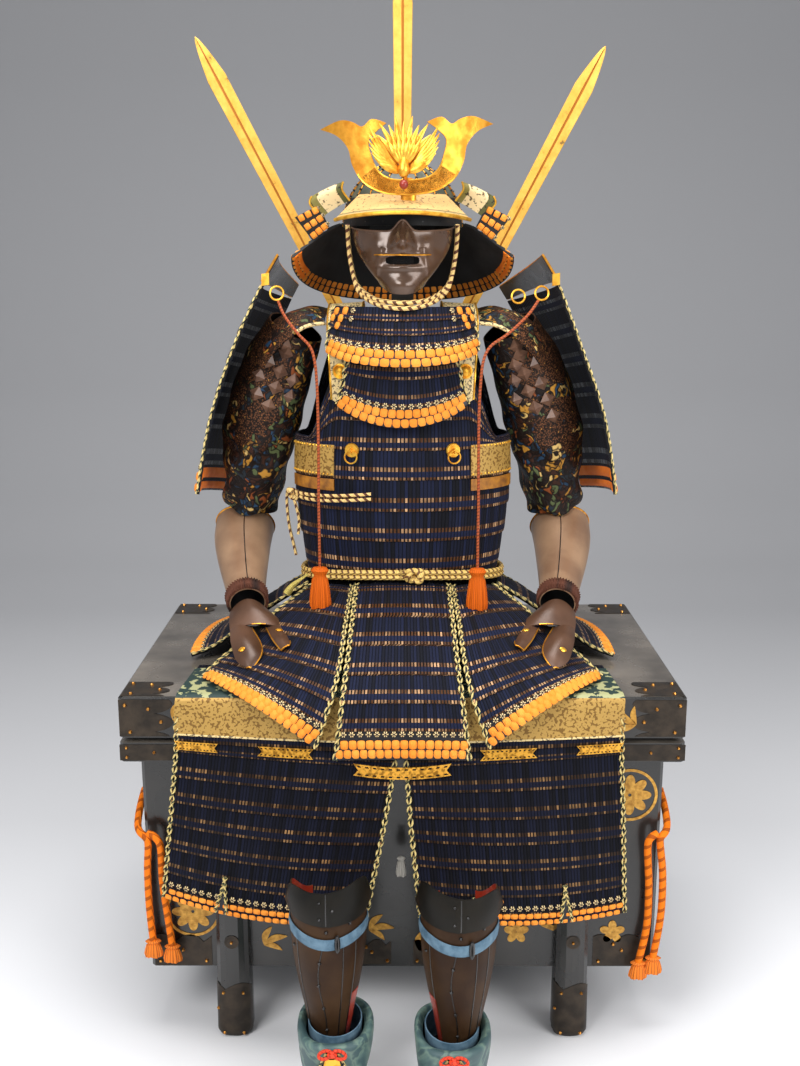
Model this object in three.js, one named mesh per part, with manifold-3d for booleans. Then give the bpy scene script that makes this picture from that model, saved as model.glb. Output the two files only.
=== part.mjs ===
// A samurai armour seated on its lacquered armour chest.
// Millimetres, +Z up, the armour faces -Y, and left and right are the viewer's.
import * as THREE from 'three';
import { mergeVertices } from 'three/addons/utils/BufferGeometryUtils.js';
import Module from 'manifold-3d';

const wasm = await Module();
wasm.setup();

// ---------------------------------------------------------------- driving dimensions
const GAP = 0.3;            // between pieces that meet
const PLATE = 2;            // iron plate, leather and laced scale boards
const LAME_LIFT = 3.5;      // how far the foot of a laced lame stands over the next one

const LID = { halfX: 485.5, halfY: 291.5, top: 645, foot: 571, roof: 14, wall: 13 };
const CHEST = {
  bottomHalfX: 455, topHalfX: 458, halfY: 262, bottom: 118, floor: 14, wall: 11,
  bandHalfX: 486, bandHalfY: 291.5, bandFoot: 527, bandTop: 562,
};
const LEG = { x: 303, halfX: 31.5, depth: 42, top: 500 };

const WAIST = 800;          // height of the cuirass's lower edge
const TRUNK_Y = 5;          // middle of the trunk, front to back
const SIDE_TOP = 1050;      // cuirass height under the arms
const FRONT_TOP = 1205;
const BACK_TOP = 1255;

const BOWL = { y: 20, foot: 1430, halfX: 108, halfY: 120, height: 115 };
const BLADE = { y: 224, hub: 1033, root: 95, rootHalf: 11.5, halfWidth: 19, halfThick: 3.2 };
const BLADES = [
  { name: 'left', turn: -27.7, tip: 857 },
  { name: 'middle', turn: 0, tip: 905 },
  { name: 'right', turn: 27.7, tip: 838 },
];
const SOCKET = { halfX: 88, foot: 1092, top: 1196, halfY: 15 };
const RING = { x: 89.5, radius: 11.5, wire: 1.5, height: 1029, turn: 17, max: 100 };
const MOUNT = { radius: 13.5, thick: 3, eye: 4, eyeWire: 1.2 };
const MASK = { y: -35, spread: 80, mouthHalf: 29, mouthFoot: 1364, mouthTop: 1378 };
const SHIN = { foot: 128, spread: 150, kneeTop: 397, lobe: 12, backDrop: 30 };

// ---------------------------------------------------------------- shape helpers
const vec = (x, y, z) => new THREE.Vector3(x, y, z);
const radians = THREE.MathUtils.degToRad;
const mix = THREE.MathUtils.lerp;
const smooth = THREE.MathUtils.smoothstep;

function geometryOf(points, triangles) {
  // A geometry from points and index triples, turned so that its faces point out.
  let volume = 0;
  for (const [a, b, c] of triangles) {
    volume += points[a].dot(points[b].clone().cross(points[c]));
  }
  const ordered = volume < 0 ? triangles.map(([a, b, c]) => [a, c, b]) : triangles;
  const geometry = new THREE.BufferGeometry();
  geometry.setFromPoints(points);
  geometry.setIndex(ordered.flat());
  return geometry;
}

function wall(surface, { cols, rows, thickness = PLATE, wrap = false }) {
  // A closed wall. surface(u, v) is its outer face; rows lists [v, lift] down the wall,
  // where lift moves the outer face out. Seen from outside, u runs left to right.
  const step = 1e-3;
  const outer = [];
  const inner = [];
  const across = wrap ? cols : cols + 1;
  for (const [v, lift] of rows) {
    for (let i = 0; i < across; i += 1) {
      const u = i / cols;
      const place = surface(u, v);
      const [u0, u1] = wrap ? [u - step, u + step] : [Math.max(u - step, 0), Math.min(u + step, 1)];
      const [v0, v1] = [Math.max(v - step, 0), Math.min(v + step, 1)];
      const along = surface(u1, v).sub(surface(u0, v));
      const down = surface(u, v1).sub(surface(u, v0));
      const normal = down.cross(along).normalize();
      outer.push(place.clone().addScaledVector(normal, lift));
      inner.push(place.clone().addScaledVector(normal, -thickness));
    }
  }
  const points = [...outer, ...inner];
  const half = outer.length;
  const triangles = [];
  const quad = (a, b, c, d) => triangles.push([a, b, c], [a, c, d]);
  const at = (row, col) => row * across + (col % across);
  for (let r = 0; r < rows.length - 1; r += 1) {
    for (let c = 0; c < cols; c += 1) {
      quad(at(r, c), at(r + 1, c), at(r + 1, c + 1), at(r, c + 1));
      quad(half + at(r, c), half + at(r, c + 1), half + at(r + 1, c + 1), half + at(r + 1, c));
    }
  }
  const last = rows.length - 1;
  for (let c = 0; c < cols; c += 1) {
    quad(at(0, c), at(0, c + 1), half + at(0, c + 1), half + at(0, c));
    quad(at(last, c), half + at(last, c), half + at(last, c + 1), at(last, c + 1));
  }
  if (!wrap) {
    for (let r = 0; r < last; r += 1) {
      quad(at(r, 0), half + at(r, 0), half + at(r + 1, 0), at(r + 1, 0));
      quad(at(r, cols), at(r + 1, cols), half + at(r + 1, cols), half + at(r, cols));
    }
  }
  return geometryOf(points, triangles);
}

function ringSolid(rings, looped = false) {
  // A closed solid through rings of equally many points, capped unless the rings form a loop.
  const count = rings[0].length;
  const points = rings.flat();
  const triangles = [];
  const steps = looped ? rings.length : rings.length - 1;
  for (let r = 0; r < steps; r += 1) {
    const next = ((r + 1) % rings.length) * count;
    for (let i = 0; i < count; i += 1) {
      const j = (i + 1) % count;
      triangles.push([r * count + i, r * count + j, next + j], [r * count + i, next + j, next + i]);
    }
  }
  if (!looped) {
    const last = (rings.length - 1) * count;
    for (let i = 1; i < count - 1; i += 1) {
      triangles.push([0, i + 1, i], [last, last + i, last + i + 1]);
    }
  }
  return geometryOf(points, triangles);
}

function plainRows(count, first = 0, last = 1) {
  return Array.from({ length: count + 1 }, (_, i) => [mix(first, last, i / count), 0]);
}

function lamedRows(lames, first = 0, last = 1) {
  // Each lame slopes out to its foot, then the wall steps back in to the next lame.
  const seam = 0.006 * (last - first);
  const rows = [];
  for (let i = 0; i < lames; i += 1) {
    const head = mix(first, last, i / lames) + (i > 0 ? seam : 0);
    const foot = mix(first, last, (i + 1) / lames);
    rows.push([head, 0.5], [foot, LAME_LIFT]);
  }
  return rows;
}

function through(table, t) {
  // A smooth row of numbers between the rows of a table, by Catmull-Rom splines.
  const place = THREE.MathUtils.clamp(t, 0, 1) * (table.length - 1);
  const k = Math.min(Math.floor(place), table.length - 2);
  const s = place - k;
  const before = table[Math.max(k - 1, 0)];
  const after = table[Math.min(k + 2, table.length - 1)];
  return table[k].map((a, i) => {
    const b = table[k + 1][i];
    const slopeA = (b - before[i]) / 2;
    const slopeB = (after[i] - a) / 2;
    const rise = b - a;
    return a + s * (slopeA + s * (3 * rise - 2 * slopeA - slopeB + s * (slopeA + slopeB - 2 * rise)));
  });
}

function straight(table, t) {
  // The same, by straight lines.
  const place = THREE.MathUtils.clamp(t, 0, 1) * (table.length - 1);
  const k = Math.min(Math.floor(place), table.length - 2);
  return table[k].map((a, i) => mix(a, table[k + 1][i], place - k));
}

function hung({ rungs, out, run = through }) {
  // The face of a hanging panel. Each rung is its left end, its right end, how far its
  // middle bows along out, and how far its middle sags.
  const outward = vec(...out).normalize();
  return (u, v) => {
    const [lx, ly, lz, rx, ry, rz, bow, sag = 0] = run(rungs, v);
    const arch = 4 * u * (1 - u);
    return vec(mix(lx, rx, u), mix(ly, ry, u), mix(lz, rz, u) - sag * arch)
      .addScaledVector(outward, bow * arch);
  };
}

function tube(stations) {
  // The face of a tube through stations of centre x, y, z and the two radii, side and front.
  return (u, v) => {
    const [x, y, z, side, front] = through(stations, v);
    const ahead = vec(...through(stations, Math.min(v + 0.01, 1)));
    const behind = vec(...through(stations, Math.max(v - 0.01, 0)));
    const tangent = ahead.sub(behind).normalize();
    const across = vec(1, 0, 0).addScaledVector(tangent, -tangent.x).normalize();
    const forward = tangent.clone().cross(across);
    const turn = 2 * Math.PI * u;
    return vec(x, y, z).addScaledVector(across, side * Math.sin(turn))
      .addScaledVector(forward, front * Math.cos(turn));
  };
}

function mirrored(surface) {
  // The same face on the other side of the armour.
  return (u, v) => surface(1 - u, v).multiply(vec(-1, 1, 1));
}

function cordAlong(route, radius, sides, steps) {
  const section = new THREE.Shape();
  for (let i = 0; i < sides; i += 1) {
    const turn = (2 * Math.PI * i) / sides;
    const place = [radius * Math.cos(turn), radius * Math.sin(turn)];
    if (i === 0) section.moveTo(...place);
    else section.lineTo(...place);
  }
  const extrudePath = new THREE.CatmullRomCurve3(route.map((p) => vec(...p)));
  return new THREE.ExtrudeGeometry(section, { steps, extrudePath, curveSegments: 1 });
}

function plate(outline, depth) {
  // A flat plate from an outline of [x, z] points, its front face at y = 0.
  const shape = new THREE.Shape(outline.map(([x, z]) => new THREE.Vector2(x, z)));
  const geometry = new THREE.ExtrudeGeometry(shape, { depth, bevelEnabled: false });
  return geometry.rotateX(Math.PI / 2).translate(0, depth, 0);
}

function block(x0, x1, y0, y1, z0, z1) {
  const box = new THREE.BoxGeometry(x1 - x0, y1 - y0, z1 - z0);
  return box.translate((x0 + x1) / 2, (y0 + y1) / 2, (z0 + z1) / 2);
}

function solidOf(geometry) {
  const bare = geometry.clone();
  for (const name of Object.keys(bare.attributes)) {
    if (name !== 'position') bare.deleteAttribute(name);
  }
  const merged = mergeVertices(bare, 1e-4);
  return new wasm.Manifold(new wasm.Mesh({
    numProp: 3,
    vertProperties: Float32Array.from(merged.attributes.position.array),
    triVerts: Uint32Array.from(merged.index.array),
  }));
}

function geometryFrom(solid) {
  const mesh = solid.getMesh();
  const geometry = new THREE.BufferGeometry();
  geometry.setAttribute('position', new THREE.BufferAttribute(mesh.vertProperties, mesh.numProp));
  geometry.setIndex(new THREE.BufferAttribute(mesh.triVerts, 1));
  return geometry;
}

const joined = (...parts) => geometryFrom(parts.map(solidOf).reduce((a, b) => a.add(b)));
const cutBy = (part, ...tools) => geometryFrom(
  tools.map(solidOf).reduce((a, b) => a.subtract(b), solidOf(part)));

// ---------------------------------------------------------------- materials
const finish = (color, roughness, metalness = 0) => new THREE.MeshStandardMaterial(
  { color, roughness, metalness });
const BLACK = finish(0x15120f, 0.25);
const LACING = finish(0x1c2238, 0.8);
const RUSSET = finish(0x4b352c, 0.5, 0.6);
const GILT = finish(0xd9a441, 0.35, 1);
const CREAM = finish(0xd9c9a0, 0.7);
const ORANGE = finish(0xe98a2e, 0.8);
const BROCADE = finish(0x4a3a2e, 0.9);
const CLOTH = finish(0x7fa3a0, 0.9);
const BRAID = finish(0xc9a45c, 0.8);
const WOOD = finish(0x3a2a1e, 0.7);

const armour = new THREE.Group();
function add(name, geometry, material) {
  const mesh = new THREE.Mesh(geometry, material);
  mesh.name = name;
  armour.add(mesh);
}

// ---------------------------------------------------------------- the chest
function oblong(halfX, halfY, z, chamfer = 6) {
  const [x, y] = [halfX - chamfer, halfY - chamfer];
  return [[halfX, -y], [halfX, y], [x, halfY], [-x, halfY], [-halfX, y], [-halfX, -y],
    [-x, -halfY], [x, -halfY]].map(([px, py]) => vec(px, py, z));
}

function chestBody() {
  const { bottomHalfX, topHalfX, halfY, bottom, floor, wall: w } = CHEST;
  const tongueX = LID.halfX - LID.wall - 2;
  const tongueY = LID.halfY - LID.wall - 2;
  const tongueTop = LID.top - LID.roof - GAP;
  return ringSolid([
    oblong(bottomHalfX, halfY, bottom),
    oblong(topHalfX, halfY, CHEST.bandFoot),
    oblong(CHEST.bandHalfX, CHEST.bandHalfY, CHEST.bandFoot + 0.5),
    oblong(CHEST.bandHalfX, CHEST.bandHalfY, CHEST.bandTop),
    oblong(tongueX, tongueY, CHEST.bandTop + 0.5),
    oblong(tongueX, tongueY, tongueTop),
    oblong(topHalfX - w, halfY - w, tongueTop + 0.1),
    oblong(bottomHalfX - w, halfY - w, bottom + floor),
  ]);
}

function chestLid() {
  const { halfX, halfY, top, foot, roof, wall: w } = LID;
  return ringSolid([
    oblong(halfX - w, halfY - w, top - roof),
    oblong(halfX - w, halfY - w, foot),
    oblong(halfX, halfY, foot + 0.1),
    oblong(halfX, halfY, top - 3),
    oblong(halfX - 3, halfY - 3, top),
  ]);
}

function chestLeg(side, face) {
  // A post with a flat back and a rounded front; its foot is tucked in and its head narrows.
  const profile = [[0, 0.86], [10, 1], [300, 0.94], [430, 0.7], [LEG.top, 0.35]];
  const rings = profile.map(([z, scale]) => {
    const ring = [];
    for (let i = 0; i <= 8; i += 1) {
      const turn = Math.PI * (i / 8);
      const bulge = Math.sin(turn) ** 0.5;
      ring.push(vec(side * LEG.x + LEG.halfX * scale * Math.cos(turn),
        face * (CHEST.halfY + GAP + LEG.depth * (0.25 + 0.75 * bulge) * scale), z));
    }
    ring.push(vec(side * LEG.x - LEG.halfX * scale, face * (CHEST.halfY + GAP), z));
    ring.push(vec(side * LEG.x + LEG.halfX * scale, face * (CHEST.halfY + GAP), z));
    return ring;
  });
  return ringSolid(rings);
}

add('chest_body', chestBody(), BLACK);
add('chest_lid', chestLid(), BLACK);
for (const [side, sideName] of [[-1, 'left'], [1, 'right']]) {
  for (const [face, faceName] of [[-1, 'front'], [1, 'back']]) {
    add(`chest_leg_${faceName}_${sideName}`, chestLeg(side, face), BLACK);
  }
}

// ---------------------------------------------------------------- the hidden armour stand
add('stand', joined(
  block(-90, 90, -60, 60, LID.top + GAP, LID.top + 18),
  block(-20, 20, -15, 25, LID.top + 10, 1500),
  block(-128, 128, -12, 22, 1236, 1262),
  new THREE.CylinderGeometry(52, 62, 20, 12).rotateX(Math.PI / 2).translate(0, BOWL.y, 1496),
), WOOD);

// ---------------------------------------------------------------- cuirass
// Sections of the trunk: height, half width, depth of the front half and of the back half.
const TRUNK = [
  [WAIST, 178, 100, 100],
  [870, 189, 108, 110],
  [940, 198, 114, 117],
  [1010, 199, 117, 123],
  [1080, 195, 114, 126],
  [1150, 186, 108, 126],
  [1220, 172, 98, 122],
  [1290, 158, 86, 114],
];

function trunkPoint(turn, z) {
  const t = (z - TRUNK[0][0]) / (TRUNK[TRUNK.length - 1][0] - TRUNK[0][0]);
  const [, halfX, front, back] = through(TRUNK, t);
  const depth = Math.cos(turn) > 0 ? front : back;
  return vec(halfX * Math.sin(turn), TRUNK_Y - depth * Math.cos(turn), z);
}

const BODY_LAMES = 6;
const YOKE_LAMES = 3;
const YOKE_SHARE = 0.35;
const SEAM = radians(0.15);

function trunkHalf(middle, top, plateau, shoulder) {
  // Half of the cuirass round the turn middle. Level lames run up to the armholes, and the
  // yoke rises from there to top between the two armholes.
  return (u, v) => {
    const swing = mix(-Math.PI / 2 + SEAM, Math.PI / 2 - SEAM, u);
    const rise = 1 - smooth(Math.abs(swing), radians(plateau), radians(shoulder));
    const head = mix(SIDE_TOP + 10, top, rise);
    const z = v < YOKE_SHARE
      ? mix(head, SIDE_TOP, v / YOKE_SHARE)
      : mix(SIDE_TOP, WAIST, (v - YOKE_SHARE) / (1 - YOKE_SHARE));
    return trunkPoint(middle + swing, z);
  };
}

const TRUNK_ROWS = [...lamedRows(YOKE_LAMES, 0, YOKE_SHARE), ...lamedRows(BODY_LAMES, YOKE_SHARE + 0.004, 1)];
add('cuirass_front', wall(trunkHalf(0, FRONT_TOP, 36, 60), { cols: 10, rows: TRUNK_ROWS }), LACING);
add('cuirass_back', wall(trunkHalf(Math.PI, BACK_TOP, 46, 68), { cols: 10, rows: TRUNK_ROWS }), LACING);

// Shoulder strap: it lies on the front yoke, goes over the shoulder and down the back.
const STRAP = hung({
  out: [-1, 0, 0],
  rungs: [
    [-128, 136, 1190, -74, 146, 1190, 0],
    [-130, 122, 1246, -74, 132, 1250, 0],
    [-132, 72, 1286, -72, 74, 1290, 0],
    [-134, 5, 1292, -72, 5, 1296, 0],
    [-134, -62, 1262, -74, -68, 1266, 0],
    [-130, -88, 1200, -78, -101, 1200, 0],
    [-126, -91, 1130, -106, -100, 1118, 0],
  ],
});
const STRAP_WALL = { cols: 2, rows: plainRows(12), thickness: 3 };
add('shoulder_strap_left', wall(STRAP, STRAP_WALL), CREAM);
add('shoulder_strap_right', wall(mirrored(STRAP), STRAP_WALL), CREAM);

// The two rosettes with a staple, and the ring that hangs free in each.
function ringPlace(side) {
  const turn = Math.asin((side * RING.x) / through(TRUNK, 0.49)[1]);
  const face = trunkPoint(turn, RING.height + RING.radius);
  const normal = vec(side * Math.sin(radians(RING.turn)), -Math.cos(radians(RING.turn)), 0);
  return { face, normal, back: LAME_LIFT + GAP };
}

function seated(geometry, side, stand) {
  const { face, normal, back } = ringPlace(side);
  const place = face.addScaledVector(normal, back + stand);
  return geometry.rotateZ(side * radians(RING.turn)).translate(place.x, place.y, place.z);
}

const EYE_STAND = MOUNT.thick + 3.4;
for (const [side, name] of [[-1, 'left'], [1, 'right']]) {
  const disc = new THREE.CylinderGeometry(MOUNT.radius, MOUNT.radius - 1.5, MOUNT.thick, 14);
  const eye = new THREE.TorusGeometry(MOUNT.eye, MOUNT.eyeWire, 8, 14).rotateY(Math.PI / 2);
  add(`ring_mount_${name}`, joined(
    seated(disc, side, MOUNT.thick / 2),
    seated(eye, side, EYE_STAND),
  ), GILT);
  const ring = new THREE.TorusGeometry(RING.radius, RING.wire, 6, 18).rotateX(Math.PI / 2);
  add(`breast_ring_${name}`, seated(ring.translate(0, 0, -RING.radius), side, EYE_STAND), GILT);
}

// The belt: two braids side by side round the waist, here one flat band.
const BELT = { z: 812, rise: 15, stand: 8, radius: 5.5, halfHeight: 8, steps: 24 };
function beltLoop() {
  const rings = [];
  for (let i = 0; i < BELT.steps; i += 1) {
    const turn = (2 * Math.PI * i) / BELT.steps;
    const z = BELT.z - BELT.rise * Math.abs(Math.sin(turn));
    const middle = trunkPoint(turn, Math.max(z, WAIST));
    middle.z = z;
    const out = vec(Math.sin(turn), -Math.cos(turn), 0);
    const ring = [];
    for (let k = 0; k < 6; k += 1) {
      const spin = (2 * Math.PI * k) / 6;
      ring.push(middle.clone()
        .addScaledVector(out, LAME_LIFT + BELT.stand + BELT.radius * Math.cos(spin))
        .add(vec(0, 0, BELT.halfHeight * Math.sin(spin))));
    }
    rings.push(ring);
  }
  return ringSolid(rings, true);
}
add('belt', beltLoop(), BRAID);

// ---------------------------------------------------------------- skirt of seven laced panels
// Each rung: left end, right end, bow of its middle. Left and right as seen from outside.
const SKIRT_LAMES = 6;
const SKIRT_WALL = { cols: 4, rows: lamedRows(SKIRT_LAMES) };
const SKIRT_FRONT = hung({
  out: [0, -0.85, 0.5],
  rungs: [
    [-86, -88, 789, 86, -88, 789, 12],
    [-90, -200, 754, 90, -200, 754, 8],
    [-96, -285, 700, 96, -285, 700, 8],
    [-103, -328, 648, 103, -328, 648, 8],
    [-115, -342, 552, 115, -342, 552, 8],
  ],
});
const SKIRT_FRONT_LEFT = hung({
  out: [-0.15, -0.8, 0.6],
  rungs: [
    [-172, -42, 776, -91, -88, 786, 8],
    [-232, -112, 742, -97, -200, 752, 14],
    [-290, -165, 700, -104, -285, 699, 16],
    [-326, -198, 676, -118, -330, 650, 36],
    [-350, -218, 656, -146, -342, 572, 58],
  ],
});
const SKIRT_SIDE_LEFT = hung({
  out: [-0.8, 0, 0.6],
  rungs: [
    [-172, 56, 780, -177, -34, 776, 8],
    [-228, 80, 744, -240, -58, 742, 10],
    [-282, 108, 700, -302, -74, 700, 12],
    [-322, 132, 668, -350, -86, 668, 14],
    [-350, 152, 654, -392, -96, 654, 16],
  ],
});
const SKIRT_BACK_LEFT = hung({
  out: [0, 0.85, 0.5],
  rungs: [
    [-3, 110, 789, -164, 66, 780, 10],
    [-3, 192, 756, -200, 124, 748, 10],
    [-3, 268, 706, -226, 196, 708, 10],
    [-4, 318, 656, -240, 300, 668, 6],
    [-5, 334, 562, -250, 322, 580, 6],
  ],
});
add('skirt_front', wall(SKIRT_FRONT, SKIRT_WALL), LACING);
for (const [name, face] of [
  ['front', SKIRT_FRONT_LEFT], ['side', SKIRT_SIDE_LEFT], ['back', SKIRT_BACK_LEFT],
]) {
  add(`skirt_${name}_left`, wall(face, SKIRT_WALL), LACING);
  add(`skirt_${name}_right`, wall(mirrored(face), SKIRT_WALL), LACING);
}

// ---------------------------------------------------------------- thigh guards
// They lie on the lid, bend over its front edge and hang. The last number is the middle's sag.
const LAID = LID.top + GAP + PLATE;
const EDGE = -LID.halfY;
const THIGH_LEFT = {
  out: [0, -1, 0],
  run: straight,
  rungs: [
    [-372, -130, LAID, -8, -130, LAID, 0, 0],
    [-384, EDGE - 2, LAID, -5, EDGE - 2, LAID, 0, 0],
    [-385, EDGE - 9, LAID - 5, -5, EDGE - 11, LAID - 4, 0, 0],
    [-386, EDGE - 12, 630, -6, EDGE - 18, 630, 0, 0],
    [-388, EDGE - 12, 556, -10, -338, 542, 8, 0],
    [-401, EDGE - 12, 440, -30, -356, 430, 14, 4],
    [-421, EDGE - 9, 279, -62, -370, 265, 14, 12],
  ],
};
const THIGH_RIGHT = {
  out: [0, -1, 0],
  run: straight,
  rungs: [
    [8, -130, LAID, 366, -130, LAID, 0, 0],
    [5, EDGE - 2, LAID, 376, EDGE - 2, LAID, 0, 0],
    [5, EDGE - 11, LAID - 4, 377, EDGE - 9, LAID - 5, 0, 0],
    [6, EDGE - 18, 630, 376, EDGE - 12, 630, 0, 0],
    [4, -338, 542, 376, EDGE - 12, 552, 8, 0],
    [12, -356, 436, 384, EDGE - 12, 420, 14, 4],
    [28, -370, 280, 393, EDGE - 9, 250, 14, 12],
  ],
};
const SPLIT = { top: 322, foot: 230, halfFoot: 10 };
const THIGH_ROWS = [
  ...[0, 1, 2, 3].map((i) => [i / 6, 0]), ...lamedRows(7, 3.8 / 6, 1),
];
function split(x) {
  // The wedge that parts the lowest lames over a leg of the chest or of the wearer.
  const outline = [[x - SPLIT.halfFoot, SPLIT.foot], [x + SPLIT.halfFoot, SPLIT.foot], [x, SPLIT.top]];
  return plate(outline, 160).translate(0, -430, 0);
}
function thighGuard(shape, splits) {
  return cutBy(wall(hung(shape), { cols: 6, rows: THIGH_ROWS }), ...splits.map(split));
}
add('thigh_guard_left', thighGuard(THIGH_LEFT, [-304, -182]), LACING);
add('thigh_guard_right', thighGuard(THIGH_RIGHT, [275, 140]), LACING);

// ---------------------------------------------------------------- shin guards and boots
const LEGS = [
  { name: 'left', x: -118, y: -478, bootX: -109 },
  { name: 'right', x: 90, y: -495, bootX: 80 },
];
// Shin guard, knee down: half width and depth. Boot, sole up: height, middle, half width, depth.
const SHIN_FORM = [[60, 64], [61, 66], [59, 64], [51, 56], [40, 47], [31, 38]];
const BOOT_FORM = [
  [0, -38, 44, 108], [8, -38, 50, 116], [36, -36, 51, 112], [64, -26, 49, 96],
  [92, -12, 51, 76], [122, -4, 56, 64], [150, 0, 61, 62],
];
const BOOT_WALL = 3;

function shinFace({ x, y }) {
  return (u, v) => {
    const turn = radians(mix(-SHIN.spread, SHIN.spread, u));
    const [halfX, depth] = through(SHIN_FORM, v);
    const head = SHIN.kneeTop + SHIN.lobe * Math.sin(1.3 * turn) ** 2
      - SHIN.backDrop * smooth(Math.abs(turn), radians(95), radians(SHIN.spread));
    return vec(x + halfX * Math.sin(turn), y - depth * Math.cos(turn), mix(head, SHIN.foot, v));
  };
}

function boot({ bootX, y }) {
  const ring = (z, middle, halfX, halfY) => Array.from({ length: 12 }, (_, i) => {
    const turn = (2 * Math.PI * i) / 12;
    const [s, c] = [Math.sin(turn), Math.cos(turn)];
    const full = (w) => Math.sign(w) * Math.abs(w) ** 0.85;
    return vec(bootX + halfX * full(s), y + middle - halfY * full(c), z);
  });
  const outer = BOOT_FORM.map(([z, m, a, b]) => ring(z, m, a, b));
  const inner = BOOT_FORM.slice(1).map(([z, m, a, b]) => ring(
    z + (z < 10 ? BOOT_WALL : 0), m, a - BOOT_WALL, b - BOOT_WALL));
  return ringSolid([...outer, ...inner.reverse()]);
}

for (const leg of LEGS) {
  const rows = plainRows(6);
  add(`shin_guard_${leg.name}`, wall(shinFace(leg), { cols: 12, rows }), RUSSET);
  add(`boot_${leg.name}`, boot(leg), CLOTH);
}

// ---------------------------------------------------------------- arms
// Stations from the shoulder down: centre x, y, z, half width, half depth.
const SLEEVE = [
  [-196, 8, 1252, 52, 66], [-226, 20, 1190, 64, 72], [-256, 36, 1112, 70, 76],
  [-273, 50, 1045, 69, 74], [-287, 68, 968, 58, 64], [-298, 84, 912, 52, 56],
];
const FOREARM = [
  [-309, 86, 866, 57, 54], [-310, 52, 842, 55, 54], [-304, 4, 812, 48, 47],
  [-293, -60, 780, 38, 38], [-283, -112, 760, 33, 33],
];
const HAND = hung({
  out: [0, -0.35, 0.94],
  rungs: [
    [-314, -142, 746, -252, -142, 746, 28],
    [-313, -176, 730, -250, -172, 734, 26],
    [-305, -212, 713, -255, -212, 718, 20],
    [-290, -247, 696, -266, -247, 700, 8],
  ],
});
const THUMB = hung({
  out: [0.2, -0.5, 0.84],
  rungs: [
    [-270, -188, 738, -258, -162, 750, 8],
    [-238, -218, 738, -230, -192, 750, 8],
    [-208, -252, 730, -197, -236, 738, 4],
  ],
});
const handGuard = (side) => joined(
  wall(side(HAND), { cols: 4, rows: plainRows(4) }),
  wall(side(THUMB), { cols: 2, rows: plainRows(3) }),
);
const asBuilt = (face) => face;
for (const [name, side] of [['left', asBuilt], ['right', mirrored]]) {
  const round = { cols: 12, wrap: true };
  add(`sleeve_${name}`, wall(side(tube(SLEEVE)), { ...round, rows: plainRows(6), thickness: 3 }), BROCADE);
  add(`forearm_guard_${name}`, wall(side(tube(FOREARM)), { ...round, rows: plainRows(5) }), RUSSET);
  add(`hand_guard_${name}`, handGuard(side), RUSSET);
}

// ---------------------------------------------------------------- shoulder guards
// They hang beside the arms, front edge first; the right one stands a little more open.
const SODE_LEFT = hung({
  out: [-1, 0, 0.2],
  rungs: [
    [-218, 160, 1300, -241, -105, 1330, 24],
    [-268, 170, 1196, -290, -105, 1230, 26],
    [-320, 180, 1062, -338, -105, 1098, 24],
    [-368, 190, 915, -367, -105, 961, 20],
  ],
});
const SODE_RIGHT = hung({
  out: [1, 0, 0.2],
  rungs: [
    [268, -105, 1330, 206, 160, 1296, 24],
    [308, -105, 1230, 262, 170, 1194, 26],
    [356, -105, 1098, 322, 180, 1064, 24],
    [381, -105, 961, 366, 190, 922, 20],
  ],
});
const SODE_PLATE_LEFT = hung({
  out: [-0.9, 0, 0.5],
  rungs: [
    [-204, 160, 1328, -215, -108, 1380, 14],
    [-217, 160, 1304, -242, -108, 1336, 22],
  ],
});
const SODE_PLATE_RIGHT = hung({
  out: [0.9, 0, 0.5],
  rungs: [
    [241, -108, 1380, 190, 160, 1324, 14],
    [269, -108, 1336, 205, 160, 1300, 22],
  ],
});
const SODE_LAMES = 7;
for (const [name, board, cap] of [
  ['left', SODE_LEFT, SODE_PLATE_LEFT], ['right', SODE_RIGHT, SODE_PLATE_RIGHT],
]) {
  add(`sode_${name}`, wall(board, { cols: 5, rows: lamedRows(SODE_LAMES) }), LACING);
  add(`sode_plate_${name}`, wall(cap, { cols: 5, rows: plainRows(2), thickness: 3 }), BLACK);
}

// ---------------------------------------------------------------- helmet
function bowl() {
  const wallThick = 2.5;
  const arc = (shrink, from, to) => Array.from({ length: 8 }, (_, i) => {
    const rise = mix(from, to, i / 7) * (Math.PI / 2);
    return new THREE.Vector2(Math.cos(rise) * (1 - shrink / BOWL.halfX),
      Math.sin(rise) * (BOWL.height - shrink));
  });
  const profile = [...arc(wallThick, 1, 0), ...arc(0, 0, 1)];
  profile[0].x = 0;
  profile[profile.length - 1].x = 0;
  const geometry = new THREE.LatheGeometry(profile, 18).rotateX(Math.PI / 2).scale(BOWL.halfX, BOWL.halfY, 1);
  return geometry.translate(0, BOWL.y, BOWL.foot);
}
add('helmet_bowl', bowl(), BLACK);

const VISOR = { spread: 52, inX: 97, inY: 109, inZ: 1484, outX: 148, outY: 192, outZ: 1449, droop: 9 };
function visorFace(u, v) {
  const turn = radians(mix(-VISOR.spread, VISOR.spread, u));
  const z = mix(VISOR.inZ, VISOR.outZ, v) - VISOR.droop * v * (1 - Math.cos(turn)) * 2.6;
  return vec(mix(VISOR.inX, VISOR.outX, v) * Math.sin(turn),
    BOWL.y - mix(VISOR.inY, VISOR.outY, v) * Math.cos(turn), z);
}
add('visor', wall(visorFace, { cols: 12, rows: plainRows(3) }), CREAM);

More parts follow.
